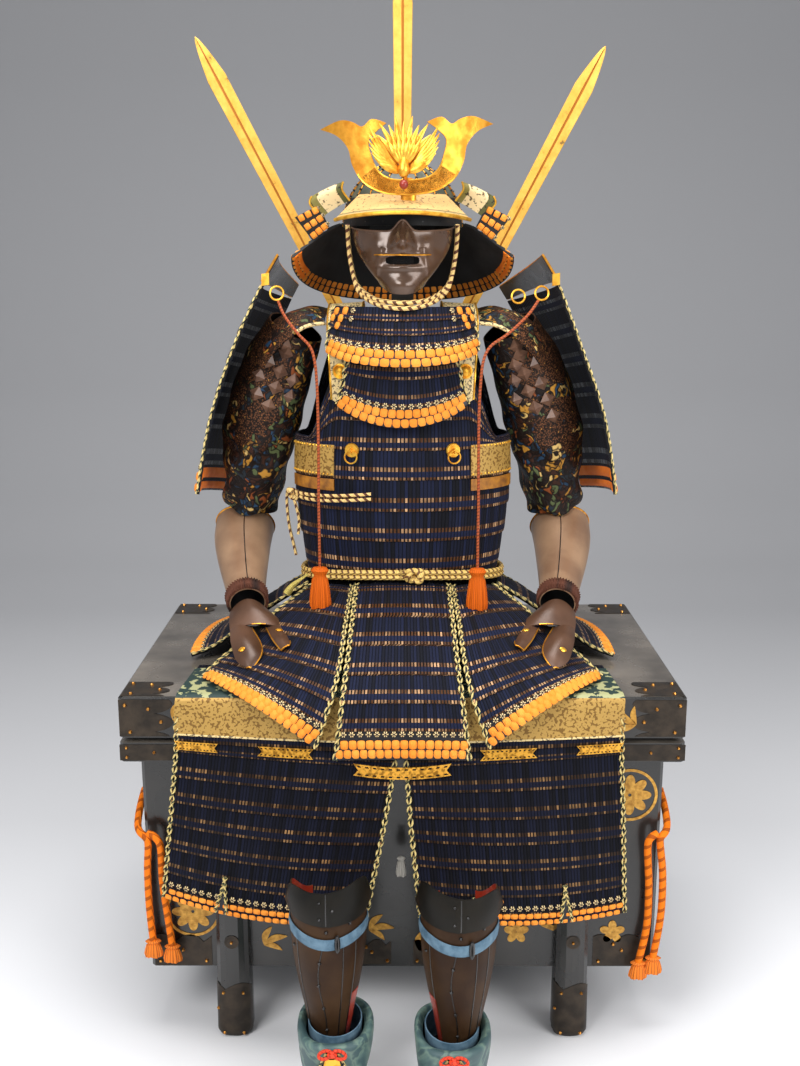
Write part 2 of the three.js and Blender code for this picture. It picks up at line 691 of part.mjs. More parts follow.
const GUARD = {
  spread: 98, topX: 113, topY: 125, topZ: 1437, rimX: 200, rimY: 182, rimZ: 1297, tipRise: 82, lames: 5,
};
function guardFace(u, v) {
  // u runs round the back, from the right tip to the left one as seen from behind.
  const swing = mix(GUARD.spread, -GUARD.spread, u);
  const turn = radians(swing);
  const rim = GUARD.rimZ + GUARD.tipRise * Math.abs(swing / GUARD.spread) ** 2.3;
  const flare = v ** 0.85;
  return vec(mix(GUARD.topX, GUARD.rimX, flare) * Math.sin(turn),
    BOWL.y + mix(GUARD.topY, GUARD.rimY, flare) * Math.cos(turn), mix(GUARD.topZ, rim, v));
}
add('neck_guard', wall(guardFace, { cols: 12, rows: lamedRows(GUARD.lames) }), LACING);

// The lames' front ends are turned back: a leather leaf above and a laced one below.
const TURNBACK_UPPER = hung({
  out: [0, -1, 0],
  rungs: [[-158, -36, 1480, -106, -44, 1494, 3], [-143, -32, 1450, -95, -40, 1476, 3]],
});
const TURNBACK_LOWER = hung({
  out: [0, -1, 0],
  rungs: [[-191, -30, 1446, -148, -36, 1464, 3], [-160, -28, 1408, -138, -32, 1430, 3]],
});
const turnback = (side) => joined(
  wall(side(TURNBACK_UPPER), { cols: 3, rows: plainRows(1), thickness: 4 }),
  wall(side(TURNBACK_LOWER), { cols: 3, rows: plainRows(1), thickness: 4 }),
  side === mirrored ? block(138, 148, -36, -30, 1448, 1468) : block(-148, -138, -36, -30, 1448, 1468),
);
add('turnback_left', turnback(asBuilt), CREAM);
add('turnback_right', turnback(mirrored), CREAM);

// Crest: an openwork crescent with two flat horns, and a burst of flames in front.
const HORN = [
  [60, 1537], [67, 1569], [46, 1584], [34, 1596], [64, 1603], [76, 1592], [90, 1600],
  [112, 1605], [148, 1595], [122, 1584], [105, 1569], [97, 1553], [94, 1538], [92, 1526],
];
const CREST = { lean: 1.8, pivot: 1500, shift: 10, y: -124, curl: 26, halfX: 98, thick: 2.5 };
function crest() {
  const arc = (halfX, top, foot, from, to) => Array.from({ length: 7 }, (_, i) => {
    const t = mix(from, to, i / 6);
    return [halfX * t, top - (top - foot) * Math.sqrt(Math.max(0, 1 - t * t))];
  });
  const leftHorn = HORN.map(([x, z]) => [-x, z]).reverse();
  const outline = [
    ...leftHorn, ...arc(58, 1536, 1503, -0.9, 0.9), ...HORN, ...arc(CREST.halfX, 1526, 1478, 0.9, -0.9),
  ];
  const flat = plate(outline, CREST.thick);
  const places = flat.attributes.position;
  for (let i = 0; i < places.count; i += 1) {
    const x = places.getX(i);
    places.setY(i, places.getY(i) + CREST.y + CREST.curl * (x / CREST.halfX) ** 2);
  }
  return flat.translate(0, 0, -CREST.pivot).rotateY(-radians(CREST.lean))
    .translate(CREST.shift, 0, CREST.pivot);
}
add('crest', crest(), GILT);

const BURST = { y: -134, z: 1556, thick: 4, rays: 13, inner: 26, outer: 50 };
function burst() {
  const outline = [];
  for (let i = 0; i < 2 * BURST.rays; i += 1) {
    const turn = mix(-1.25, 1.25, i / (2 * BURST.rays - 1)) * Math.PI * 0.8;
    const reach = i % 2 ? BURST.outer + 6 * Math.cos(turn) : BURST.inner;
    outline.push([reach * Math.sin(turn), BURST.z + reach * Math.cos(turn)]);
  }
  const head = new THREE.SphereGeometry(1, 10, 8).scale(15, 20, 34);
  return joined(
    plate(outline, BURST.thick).translate(0, BURST.y, 0),
    head.translate(0, BURST.y - 10, BURST.z - 26),
  );
}
add('crest_ornament', burst(), GILT);

// ---------------------------------------------------------------- blades behind the helmet
function blade({ turn, tip }, grow = 0) {
  // A straight two-edged blade in the fan, wider by grow where it serves to cut its slot.
  const section = (reach, halfWidth, halfThick) => {
    const ring = [[halfWidth, 0], [0, halfThick], [-halfWidth, 0], [0, -halfThick]];
    return ring.map(([w, t]) => vec(w, t, reach));
  };
  const { root, rootHalf, halfWidth: w, halfThick: t } = BLADE;
  const rings = [
    section(root - grow, rootHalf + grow, t + grow), section(tip - 85, w + grow, t + grow),
    section(tip - 32, w * 0.62, t * 0.8), section(tip, 0.6, 0.5),
  ];
  return ringSolid(rings).rotateY(radians(turn)).translate(0, BLADE.y, BLADE.hub);
}
function bladeSocket() {
  const { halfX, foot, top, halfY } = SOCKET;
  const back = trunkPoint(Math.PI, 1130).y + LAME_LIFT + GAP;
  const head = plate([
    [-40, foot], [40, foot], [halfX, foot + 60], [halfX - 14, top], [-halfX + 14, top], [-halfX, foot + 60],
  ], 2 * halfY).translate(0, BLADE.y - halfY, 0);
  const stem = block(-28, 28, back, BLADE.y, foot + 18, foot + 62);
  return cutBy(joined(head, stem), ...BLADES.map((one) => blade(one, GAP + 0.1)));
}
for (const one of BLADES) add(`blade_${one.name}`, blade(one), GILT);
add('blade_socket', bladeSocket(), BLACK);

// ---------------------------------------------------------------- mask and throat
// Half mask, from its upper edge down: half width and depth of its rings.
const MASK_FORM = [[91, 88], [90, 91], [87, 94], [80, 97], [67, 100], [50, 100]];
function maskFace(u, v) {
  const swing = mix(-MASK.spread, MASK.spread, u);
  const turn = radians(swing);
  const [halfX, depth] = through(MASK_FORM, v);
  const x = halfX * Math.sin(turn);
  const edge = Math.abs(swing / MASK.spread);
  const head = 1419 + 19 * Math.exp(-((x / 13) ** 2)) + 9 * edge ** 2;
  const z = mix(head, 1314 + 46 * edge ** 2.4, v);
  const nose = 27 * Math.exp(-((x / 13) ** 2) - ((z - 1400) / 15) ** 2)
    + 12 * Math.exp(-((x / 9) ** 2)) * smooth(z, 1396, 1420);
  return vec(x, MASK.y - depth * Math.cos(turn) - nose, z);
}
const mouth = block(-MASK.mouthHalf, MASK.mouthHalf, -170, -90, MASK.mouthFoot, MASK.mouthTop);
add('mask', cutBy(wall(maskFace, { cols: 16, rows: plainRows(9) }), mouth), RUSSET);

function bib({ topX, topY, topZ, footX, footY, footZ, rise, spreadTop, spreadFoot, y }) {
  // A laced apron that hangs round the throat and spreads as it goes down.
  return (u, v) => {
    const spread = mix(spreadTop, spreadFoot, v);
    const swing = mix(-spread, spread, u);
    const turn = radians(swing);
    const foot = footZ + rise * (swing / spreadFoot) ** 2;
    return vec(mix(topX, footX, v) * Math.sin(turn), y - mix(topY, footY, v) * Math.cos(turn),
      mix(topZ, foot, v));
  };
}
const THROAT = {
  topX: 124, topY: 100, topZ: 1293, footX: 148, footY: 140, footZ: 1194, rise: 22,
  spreadTop: 76, spreadFoot: 64, y: -36,
};
const GORGET = {
  topX: 190, topY: 131, topZ: 1216, footX: 192, footY: 136, footZ: 1084, rise: 40,
  spreadTop: 30, spreadFoot: 37, y: TRUNK_Y,
};
add('throat_guard', wall(bib(THROAT), { cols: 12, rows: lamedRows(4) }), LACING);
add('gorget', wall(bib(GORGET), { cols: 10, rows: lamedRows(3) }), LACING);

// ---------------------------------------------------------------- cords
const CHIN_HALF = [
  [-96, -64, 1432], [-95, -52, 1400], [-91, -52, 1366], [-80, -76, 1330], [-50, -116, 1307], [-16, -140, 1301],
];
const CHIN = [...CHIN_HALF, ...CHIN_HALF.map(([x, y, z]) => [-x, y, z]).reverse()];
add('chin_cord', cordAlong(CHIN, 3.5, 8, 24), BRAID);

// A thin silk cord from each shoulder guard, caught under the throat guard, with a tassel.
const TASSEL = { top: 838, length: 70, radius: 12, neck: 4 };
const TASSEL_LEFT = [
  [-216, -116, 1306], [-204, -132, 1280], [-180, -152, 1250], [-158, -162, 1228], [-150, -166, 1204],
  [-147, -165, 1170], [-146, -162, 1120], [-146, -160, 1040], [-147, -158, 960], [-147, -156, 890],
  [-147, -155, TASSEL.top - 2],
];
const TASSEL_RIGHT = [
  [236, -116, 1306], [216, -132, 1280], [182, -152, 1250], [150, -162, 1228], [138, -166, 1204],
  [134, -166, 1170], [132, -164, 1120], [132, -163, 1040], [133, -163, 960], [133, -163, 890],
  [133, -163, TASSEL.top - 2],
];
function tasselCord(route) {
  const [x, y] = route[route.length - 1];
  const profile = [
    [0, TASSEL.top], [TASSEL.neck, TASSEL.top], [TASSEL.neck + 4, TASSEL.top - 8],
    [TASSEL.neck + 2, TASSEL.top - 18], [TASSEL.radius, TASSEL.top - TASSEL.length],
    [0, TASSEL.top - TASSEL.length],
  ].map(([r, z]) => new THREE.Vector2(r, z));
  const tassel = new THREE.LatheGeometry(profile.reverse(), 10).rotateX(Math.PI / 2);
  return joined(cordAlong(route, 2.5, 8, 30), tassel.translate(x, y, 0));
}
add('tassel_cord_left', tasselCord(TASSEL_LEFT), ORANGE);
add('tassel_cord_right', tasselCord(TASSEL_RIGHT), ORANGE);

// The cord that closes the cuirass at the viewer's left, with its free end hanging.
const SIDE_CORD = [
  [-56, -124, 965], [-90, -119, 962], [-124, -108, 959], [-156, -90, 957], [-184, -64, 955],
  [-204, -34, 955], [-214, -10, 954], [-218, 2, 940], [-218, 2, 915], [-214, -2, 880], [-206, -6, 845],
  [-202, -8, 826],
];
add('side_cord', cordAlong(SIDE_CORD, 3, 8, 20), BRAID);

// Chest ropes: each comes forward round a corner, is knotted and hangs in two strands.
const ROPE = { radius: 6.5, sides: 8, knot: 13, steps: 11 };
const ROPES = {
  left: {
    knot: [-446, -288, 392],
    strands: [
      [[-467, -200, 436], [-469, -232, 418], [-468, -262, 400], [-462, -280, 392], [-450, -290, 386],
        [-446, -288, 372], [-450, -284, 320], [-450, -284, 250], [-446, -284, 182]],
      [[-446, -288, 392], [-432, -292, 386], [-424, -290, 366], [-424, -286, 300], [-418, -284, 230],
        [-412, -284, 172]],
    ],
  },
  right: {
    knot: [446, -288, 392],
    strands: [
      [[467, -200, 436], [469, -232, 418], [468, -262, 400], [462, -280, 392], [452, -290, 386],
        [452, -288, 372], [460, -284, 310], [460, -284, 230], [450, -284, 150]],
      [[446, -288, 392], [434, -292, 386], [430, -290, 366], [436, -286, 290], [436, -284, 210],
        [424, -284, 140]],
    ],
  },
};
function rope({ knot, strands }) {
  const parts = strands.map((strand) => cordAlong(strand, ROPE.radius, ROPE.sides, ROPE.steps));
  return joined(...parts, new THREE.SphereGeometry(ROPE.knot, 8, 6).translate(...knot));
}
add('chest_rope_left', rope(ROPES.left), ORANGE);
add('chest_rope_right', rope(ROPES.right), ORANGE);

// The origin is on the floor under the middle of the whole.
const around = new THREE.Box3().setFromObject(armour);
armour.position.y = -(around.min.y + around.max.y) / 2;

export default armour;
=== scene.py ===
"""A samurai armour seated on its lacquered armour chest, dressed for Blender.

Lengths are millimetres from the middle of the chest, as a maker would measure them:
x to the viewer's right, y to the back, z up from the floor. to_frame() turns them into
the metres of the part's own frame at the last moment.
"""

# %% [markdown]
# # A samurai armour on its armour chest
#
# A laced armour is built from a few hundred lacquered scales tied into rows, called lames.
# Silk laces hang each lame from the one above, so skirts and shoulder guards telescope.
# The hard pieces (chest, stand, legs, blade socket, rings) come from the imported model and
# only get a material; the crest, its ornament and the blades are made again here. The laced,
# woven and printed pieces are made here as surfaces, worked out with numpy, that lie exactly
# where the model's plain solids lie.

# %% Load the imported model
import math

import bpy
import numpy as np
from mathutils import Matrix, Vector


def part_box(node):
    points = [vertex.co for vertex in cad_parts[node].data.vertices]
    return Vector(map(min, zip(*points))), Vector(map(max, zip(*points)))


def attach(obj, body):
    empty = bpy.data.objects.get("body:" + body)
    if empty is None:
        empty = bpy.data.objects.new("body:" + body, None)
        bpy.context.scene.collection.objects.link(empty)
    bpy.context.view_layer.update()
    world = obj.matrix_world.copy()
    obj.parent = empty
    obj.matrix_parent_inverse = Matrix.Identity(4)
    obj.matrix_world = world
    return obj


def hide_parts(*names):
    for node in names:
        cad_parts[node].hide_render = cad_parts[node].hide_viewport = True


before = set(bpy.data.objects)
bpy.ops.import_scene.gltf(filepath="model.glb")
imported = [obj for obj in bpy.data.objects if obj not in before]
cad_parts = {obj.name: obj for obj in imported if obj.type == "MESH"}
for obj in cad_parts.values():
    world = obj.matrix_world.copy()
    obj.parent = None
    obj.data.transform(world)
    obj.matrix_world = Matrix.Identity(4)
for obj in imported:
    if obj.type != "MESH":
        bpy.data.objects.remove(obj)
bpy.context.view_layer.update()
chest_low, chest_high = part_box("chest_lid")
MIDDLE_Y = (chest_low[1] + chest_high[1]) / 2
MM = 0.001
print("nodes", len(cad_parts), "chest middle", round(MIDDLE_Y, 4))


def to_frame(points):
    """Millimetres from the chest's middle to metres in the part's frame."""
    return np.asarray(points, float) * MM + np.array([0.0, MIDDLE_Y, 0.0])

# %% [markdown]
# ## The camera
#
# It stands 2.2 m in front of the chest's middle at chest height of a standing viewer, and
# looks down a little. The lens is close to a normal one, 40.5 mm on a 36 mm sensor.

# %% Camera
CAMERA = {"place": (0.0, -2226.5, 1355.0), "down": math.degrees(math.atan(263 / 1200)),
          "focal": 1200, "frame": (800, 1066), "sensor": 36.0, "turn": 0.12}
lens = bpy.data.cameras.new("viewer")
lens.sensor_fit = "AUTO"
lens.sensor_width = CAMERA["sensor"]
lens.lens = CAMERA["focal"] * CAMERA["sensor"] / max(CAMERA["frame"])
lens.clip_start = 0.05
lens.clip_end = 50
camera = bpy.data.objects.new("viewer", lens)
camera.location = to_frame([CAMERA["place"]])[0]
camera.rotation_euler = (math.radians(90 - CAMERA["down"]), 0, math.radians(CAMERA["turn"]))
bpy.context.collection.objects.link(camera)
bpy.context.scene.camera = camera
bpy.context.scene.view_settings.view_transform = "Standard"
print("lens", round(lens.lens, 2), "mm, tilted down", round(CAMERA["down"], 2), "degrees")

# %% [markdown]
# ## Surfaces from numbers
#
# A piece is a function of two numbers u and v between 0 and 1: u runs across the piece as
# seen from outside, v runs down it. A table lists a few cross-sections, and Catmull-Rom
# splines pass smoothly through them. Everything is worked out for whole arrays at once.

# %% Splines and surfaces
def column(values):
    """Numbers as a float array."""
    return np.asarray(values, float)


def through(table, t):
    """Catmull-Rom: a cubic between rows k and k+1 whose slopes are half the step between
    the rows on either side; t = 0 is the first row and t = 1 the last."""
    rows = column(table)
    place = np.clip(column(t), 0, 1) * (len(rows) - 1)
    k = np.minimum(place.astype(int), len(rows) - 2)
    s = (place - k)[..., None]
    a, b = rows[k], rows[k + 1]
    slope_a = (b - rows[np.maximum(k - 1, 0)]) / 2
    slope_b = (rows[np.minimum(k + 2, len(rows) - 1)] - a) / 2
    rise = b - a
    return a + s * (slope_a + s * (3 * rise - 2 * slope_a - slope_b + s * (slope_a + slope_b - 2 * rise)))


def straight(table, t):
    """The same table read by straight lines: row k plus a share s of the step to k+1."""
    rows = column(table)
    place = np.clip(column(t), 0, 1) * (len(rows) - 1)
    k = np.minimum(place.astype(int), len(rows) - 2)
    s = (place - k)[..., None]
    return rows[k] * (1 - s) + rows[k + 1] * s


def mix(a, b, t):
    """a at t = 0 and b at t = 1."""
    return a + (b - a) * t


def smooth(x, low, high):
    """0 below low, 1 above high, and 3t^2 - 2t^3 between."""
    t = np.clip((x - low) / (high - low), 0, 1)
    return t * t * (3 - 2 * t)


def stack(*columns):
    """x, y and z arrays of any matching shape as one array of points."""
    return np.stack(np.broadcast_arrays(*columns), axis=-1).astype(float)


def unit(vectors):
    """Vectors of length one."""
    return vectors / np.maximum(np.linalg.norm(vectors, axis=-1, keepdims=True), 1e-9)


def hung(rungs, out, run=through):
    """A hanging panel: a straight line between the two ends of a rung, plus 4u(1-u) times
    the rung's bow along out, less 4u(1-u) times its sag."""
    outward = unit(column(out))

    def face(u, v):
        rung = run([list(r) + [0] * (8 - len(r)) for r in rungs], v)
        arch = 4 * u * (1 - u)
        left, right = rung[..., 0:3], rung[..., 3:6]
        place = left + (right - left) * u[..., None]
        place = place + outward * (rung[..., 6] * arch)[..., None]
        place[..., 2] -= rung[..., 7] * arch
        return place
    return face


def tube(stations):
    """A tube: centre + side radius * sin(2 pi u) across + front radius * cos(2 pi u)
    forward, where across and forward are square to the centre line's tangent."""
    def face(u, v):
        station = through(stations, v)
        tangent = unit(through(stations, np.minimum(v + 0.01, 1))[..., :3]
                       - through(stations, np.maximum(v - 0.01, 0))[..., :3])
        across = unit(np.array([1.0, 0, 0]) - tangent * tangent[..., :1])
        forward = np.cross(tangent, across)
        turn = 2 * np.pi * u
        return (station[..., :3] + across * (station[..., 3] * np.sin(turn))[..., None]
                + forward * (station[..., 4] * np.cos(turn))[..., None])
    return face


def mirrored(face):
    """The same face on the other side of the armour."""
    return lambda u, v: face(1 - u, v) * np.array([-1.0, 1, 1])


def as_built(face):
    """The face as it is."""
    return face


def normals(face, u, v, step=1e-3):
    """Outward normals: the step down the face crossed with the step along it."""
    along = face(np.minimum(u + step, 1), v) - face(np.maximum(u - step, 0), v)
    down = face(u, np.minimum(v + step, 1)) - face(u, np.maximum(v - step, 0))
    return unit(np.cross(down, along))


print("a spline half way:", through([[0], [1], [4]], 0.5))

# %% [markdown]
# ## Meshes from surfaces
#
# A wall is the surface lifted to its outer face, the same surface pushed in to its inner
# face, and a rim that joins the two, so every piece is a closed solid with a thickness.
# The UV map counts laces across and lames down, so a finish can draw each lace.

# %% Pieces
SHARP = math.radians(38)


def piece(name, points, faces, finishes, uv=None, which=None, body="armour", instead_of=()):
    """One mesh object from points in millimetres and quads (or triangles) as index rows.
    uv holds one pair per point; which holds the finish number of each face."""
    mesh = bpy.data.meshes.new(name)
    places = to_frame(points).reshape(-1, 3)
    faces = np.asarray(faces, np.int32)
    mesh.vertices.add(len(places))
    mesh.vertices.foreach_set("co", places.ravel())
    mesh.loops.add(faces.size)
    mesh.loops.foreach_set("vertex_index", faces.ravel())
    mesh.polygons.add(len(faces))
    mesh.polygons.foreach_set("loop_start", np.arange(0, faces.size, faces.shape[1], dtype=np.int32))
    mesh.polygons.foreach_set("use_smooth", np.ones(len(faces), bool))
    if uv is not None:
        layer = mesh.uv_layers.new(name="laces")
        layer.data.foreach_set("uv", np.asarray(uv, float).reshape(-1, 2)[faces].ravel())
    for finish in finishes:
        mesh.materials.append(finish)
    if which is not None:
        mesh.polygons.foreach_set("material_index", np.asarray(which, np.int32))
    mesh.update(calc_edges=True)
    mesh.validate()
    mesh.set_sharp_from_angle(angle=SHARP)
    made = bpy.data.objects.new(name, mesh)
    bpy.context.collection.objects.link(made)
    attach(made, body)
    if instead_of:
        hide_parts(*instead_of)
    return made


def grid(rows, cols, first=0, across=None, wrap=False):
    """Quads between rows x cols cells; across is the number of points in a row."""
    across = across or (cols if wrap else cols + 1)
    r, c = np.mgrid[0:rows, 0:cols]
    here, after = c, (c + 1) % across
    return first + np.stack([r * across + here, (r + 1) * across + here,
                             (r + 1) * across + after, r * across + after], -1).reshape(-1, 4)
print("piece() ready")

# %% [markdown]
# ### Walls
#
# Cloth, scales and sheet metal are all thin walls over a surface. Outer and inner faces share
# one grid, and four strips close the rim.

# %% Walls
def wall(face, cols, v, lift, thickness=2.0, wrap=False, counts=None, down=None, inner_lift=None):
    """Points, quads, uv and a back-face mask of a closed wall: outer point = face + normal *
    lift, inner point = face - normal * thickness. v and lift list the rows; counts and down
    give the uv of each row (laces across, lames down)."""
    v = column(v)
    lift = column(lift)
    across = cols if wrap else cols + 1
    u_grid = np.arange(across) / cols
    uu, vv = np.meshgrid(u_grid, v)
    place = face(uu, vv)
    outward = normals(face, uu, vv)
    outer = place + outward * lift[:, None, None]
    inner = place - outward * thickness
    if inner_lift is not None:
        inner = inner + outward * column(inner_lift)[:, None, None]
    counts = np.ones(len(v)) if counts is None else column(counts)
    down = v if down is None else column(down)
    uv = np.stack([uu * counts[:, None], np.repeat(down[:, None], across, 1)], -1)
    rows = len(v) - 1
    size = across * len(v)
    front = grid(rows, cols, 0, across, wrap)
    back = grid(rows, cols, size, across, wrap)[:, ::-1]
    c = np.arange(cols)
    after = (c + 1) % across
    last = rows * across
    head = np.stack([c, after, size + after, size + c], -1)
    foot = np.stack([last + c, size + last + c, size + last + after, last + after], -1)
    parts = [front, back, head, foot]
    if not wrap:
        r = np.arange(rows) * across
        parts.append(np.stack([r, size + r, size + r + across, r + across], -1))
        e = r + cols
        parts.append(np.stack([e, e + across, size + e + across, size + e], -1))
    faces = np.concatenate(parts)
    is_back = np.zeros(len(faces), int)
    is_back[len(front):len(front) + len(back)] = 1
    points = np.concatenate([outer.reshape(-1, 3), inner.reshape(-1, 3)])
    return points, faces, np.concatenate([uv.reshape(-1, 2)] * 2), is_back


print("walls ready")

# %% [markdown]
# ### Tubes
#
# Cords, rims and piping are circles carried along a path. A fixed side direction keeps the
# circles from twisting, which is enough for routes this short.

# %% Tubes
def swept(path, radius, sides=8, aside=(0, 1, 0), ends=True, flat=1.0, looped=False):
    """A tube: circles of the given radius (one number or one per station) in the plane
    square to the path. aside is a direction that the path never runs along. flat squeezes
    the circle across aside. uv counts turns round and millimetres along."""
    path = column(path)
    count = len(path)
    if looped:
        tangent = unit(np.roll(path, -1, 0) - np.roll(path, 1, 0))
    else:
        tangent = unit(np.gradient(path, axis=0))
    across = unit(np.cross(tangent, column(aside)))
    other = np.cross(across, tangent)
    spin = 2 * np.pi * np.arange(sides) / sides
    size = np.broadcast_to(column(radius), (count,))[:, None, None]
    ring = (across[:, None] * np.cos(spin)[None, :, None]
            + other[:, None] * np.sin(spin)[None, :, None] * flat)
    points = (path[:, None] + ring * size).reshape(-1, 3)
    run = np.concatenate([[0], np.cumsum(np.linalg.norm(np.diff(path, axis=0), axis=1))])
    uv = np.stack(np.broadcast_arrays(np.arange(sides)[None] / sides, run[:, None]), -1).reshape(-1, 2)
    r, c = np.mgrid[0:count if looped else count - 1, 0:sides]
    ahead = (r + 1) % count
    faces = np.stack([r * sides + c, ahead * sides + c, ahead * sides + (c + 1) % sides,
                      r * sides + (c + 1) % sides], -1).reshape(-1, 4)
    if ends and not looped:
        fan = np.arange(1, sides - 1, 2)
        cap = np.stack([np.zeros_like(fan), fan, fan + 1, fan + 2], -1)
        cap[-1, 3] = sides - 1
        tip = (count - 1) * sides
        faces = np.concatenate([faces, cap, tip + cap[:, ::-1]])
    return points, faces, uv


print("tubes ready")

# %% [markdown]
# ### Shapes put together
#
# Many small shapes that belong to one part become one piece, so a hem is one object.

# %% Shapes put together
def merged(shapes):
    """Several (points, faces, uv) shapes as one."""
    points, faces, uvs, start = [], [], [], 0
    for shape_points, shape_faces, shape_uv in shapes:
        points.append(shape_points)
        faces.append(shape_faces + start)
        uvs.append(shape_uv)
        start += len(shape_points)
    return np.concatenate(points), np.concatenate(faces), np.concatenate(uvs)


def joined(name, shapes, finishes, which=None, **more):
    """One piece from several (points, faces, uv) shapes; which holds each shape's finish."""
    points, faces, uv = merged(shapes)
    if which is not None:
        which = np.repeat(which, [len(shape[1]) for shape in shapes])
    return piece(name, points, faces, finishes, uv, which, **more)


def plate(face, cols, rows, lift, thickness, wrap=False):
    """A thin closed wall on a face, as a shape: lifted evenly, thickness below the face."""
    return wall(face, cols, np.linspace(0, 1, rows + 1), np.full(rows + 1, lift), thickness,
                wrap=wrap)[:3]
print("merging ready")

# %% [markdown]
# ### Cushions
#
# A silk knot is a soft square cushion. All knots of a row are worked out at once as one array,
# each with a dome on top and a flat floor.

# %% Cushions
def pillows(face, u, v, width, height, rise, lift=3.0, square=0.35, cells=4):
    """Little cushions on a face: a grid of cells x cells quads each, whose outline is a
    square with corners drawn in by the share square, and whose height is
    rise * (1 - a^4)(1 - b^4) over the cushion's own coordinates a and b from -1 to 1."""
    u, v = np.broadcast_arrays(column(u).ravel(), column(v).ravel())
    centre = face(u, v)
    outward = normals(face, u, v)
    along = face(np.minimum(u + 1e-3, 1), v) - face(np.maximum(u - 1e-3, 0), v)
    along = unit(along)
    down = unit(np.cross(outward, along))
    b, a = np.meshgrid(np.linspace(-1, 1, cells + 1), np.linspace(-1, 1, cells + 1), indexing="ij")
    draw = 1 - square * (a * b) ** 2 / 2
    dome = rise * (1 - a ** 4) * (1 - b ** 4)
    shape = (along[:, None, None] * (a * draw * width / 2)[None, ..., None]
             + down[:, None, None] * (b * draw * height / 2)[None, ..., None]
             + outward[:, None, None] * (dome + lift)[None, ..., None])
    points = centre[:, None, None] + shape
    many = len(centre)
    size = (cells + 1) ** 2
    one = grid(cells, cells)
    # the floor closes each cushion: its rim again, one millimetre lower
    floor = centre[:, None, None] + shape - outward[:, None, None] * (dome + 1.0)[None, ..., None]
    points = np.concatenate([points.reshape(many, size, 3), floor.reshape(many, size, 3)], 1)
    rim = np.concatenate([np.arange(cells), np.arange(cells, size - 1, cells + 1),
                          size - 1 - np.arange(cells), (np.arange(cells, 0, -1)) * (cells + 1)])
    after = np.roll(rim, -1)
    skirt = np.stack([rim + size, after + size, after, rim], -1)
    faces = np.concatenate([one[:, ::-1], one + size, skirt])
    faces = (faces[None] + (np.arange(many) * 2 * size)[:, None, None]).reshape(-1, 4)
    uv = np.stack([a, b], -1).reshape(-1, 2)
    uv = np.concatenate([uv, uv])[None] + np.stack([np.arange(many) * 4.0, np.zeros(many)], -1)[:, None]
    return points.reshape(-1, 3), faces, uv.reshape(-1, 2)


print("cushions ready")

# %% [markdown]
# ## Finishes
#
# Every finish is a small tree of nodes. Colours are written as sRGB hex values, the way a
# paint chart gives them, and one function turns them into the linear values that light
# adds up in. One helper adds a node with its settings and its links.

# %% Node helper and colours
def linear(hex_value, alpha=1.0):
    """sRGB hex to linear: x / 12.92 below 0.04045, else ((x + 0.055) / 1.055) ^ 2.4."""
    parts = [int(hex_value[i:i + 2], 16) / 255 for i in (1, 3, 5)]
    return (*(p / 12.92 if p <= 0.04045 else ((p + 0.055) / 1.055) ** 2.4 for p in parts), alpha)


def node(tree, kind, *inputs, out=None, stops=None, **settings):
    """Add a shader node and return one output. inputs fill its live sockets in order, each
    a number, a hex colour, another node's output, or None; settings are its properties or
    its named sockets; stops are a colour ramp's [position, hex colour] pairs."""
    made = tree.nodes.new("ShaderNode" + kind)
    own = {key: value for key, value in settings.items() if hasattr(made, key)}
    for key, value in own.items():
        setattr(made, key, value)
    live = [socket for socket in made.inputs if socket.enabled]
    named = [(made.inputs[key.replace("_", " ")], value)
             for key, value in settings.items() if key not in own]
    for socket, value in [*zip(live, inputs), *named]:
        if isinstance(value, bpy.types.NodeSocket):
            tree.links.new(value, socket)
        elif value is not None:
            socket.default_value = linear(value) if isinstance(value, str) else value
    if stops:
        elements = made.color_ramp.elements
        while len(elements) < len(stops):
            elements.new(1.0)
        for element, (place, colour) in zip(elements, stops):
            element.position = place
            element.color = linear(colour)
    return made.outputs[out] if out else next(o for o in made.outputs if o.enabled)


def finish(name, draw, **shader):
    """A material named for what it is. draw(tree) returns the outputs that vary over the
    surface; shader sets the values that are the same all over."""
    made = bpy.data.materials.new(name)
    made.use_nodes = True
    tree = made.node_tree
    principled = tree.nodes["Principled BSDF"]
    for key, value in shader.items():
        principled.inputs[key.replace("_", " ")].default_value = value
    for key, output in draw(tree).items():
        tree.links.new(output, principled.inputs[key])
    return made


print("navy in linear light:", [round(x, 4) for x in linear("#1c2238")[:3]])

# %% [markdown]
# ## Laced lames
#
# Flat silk braids run down in close rows. At the foot of each lame they pass to the back
# through holes, and there the lacquered heads of the scales show between them as two rows
# of light ticks, a few of them brighter still with painted glints. Each lace darkens towards
# its edges: painted shade. The finish counts laces in u and lames in v, so one tree serves
# every laced piece. A lace is 5.5 mm wide.

# %% Laced silk
LACE = 5.5


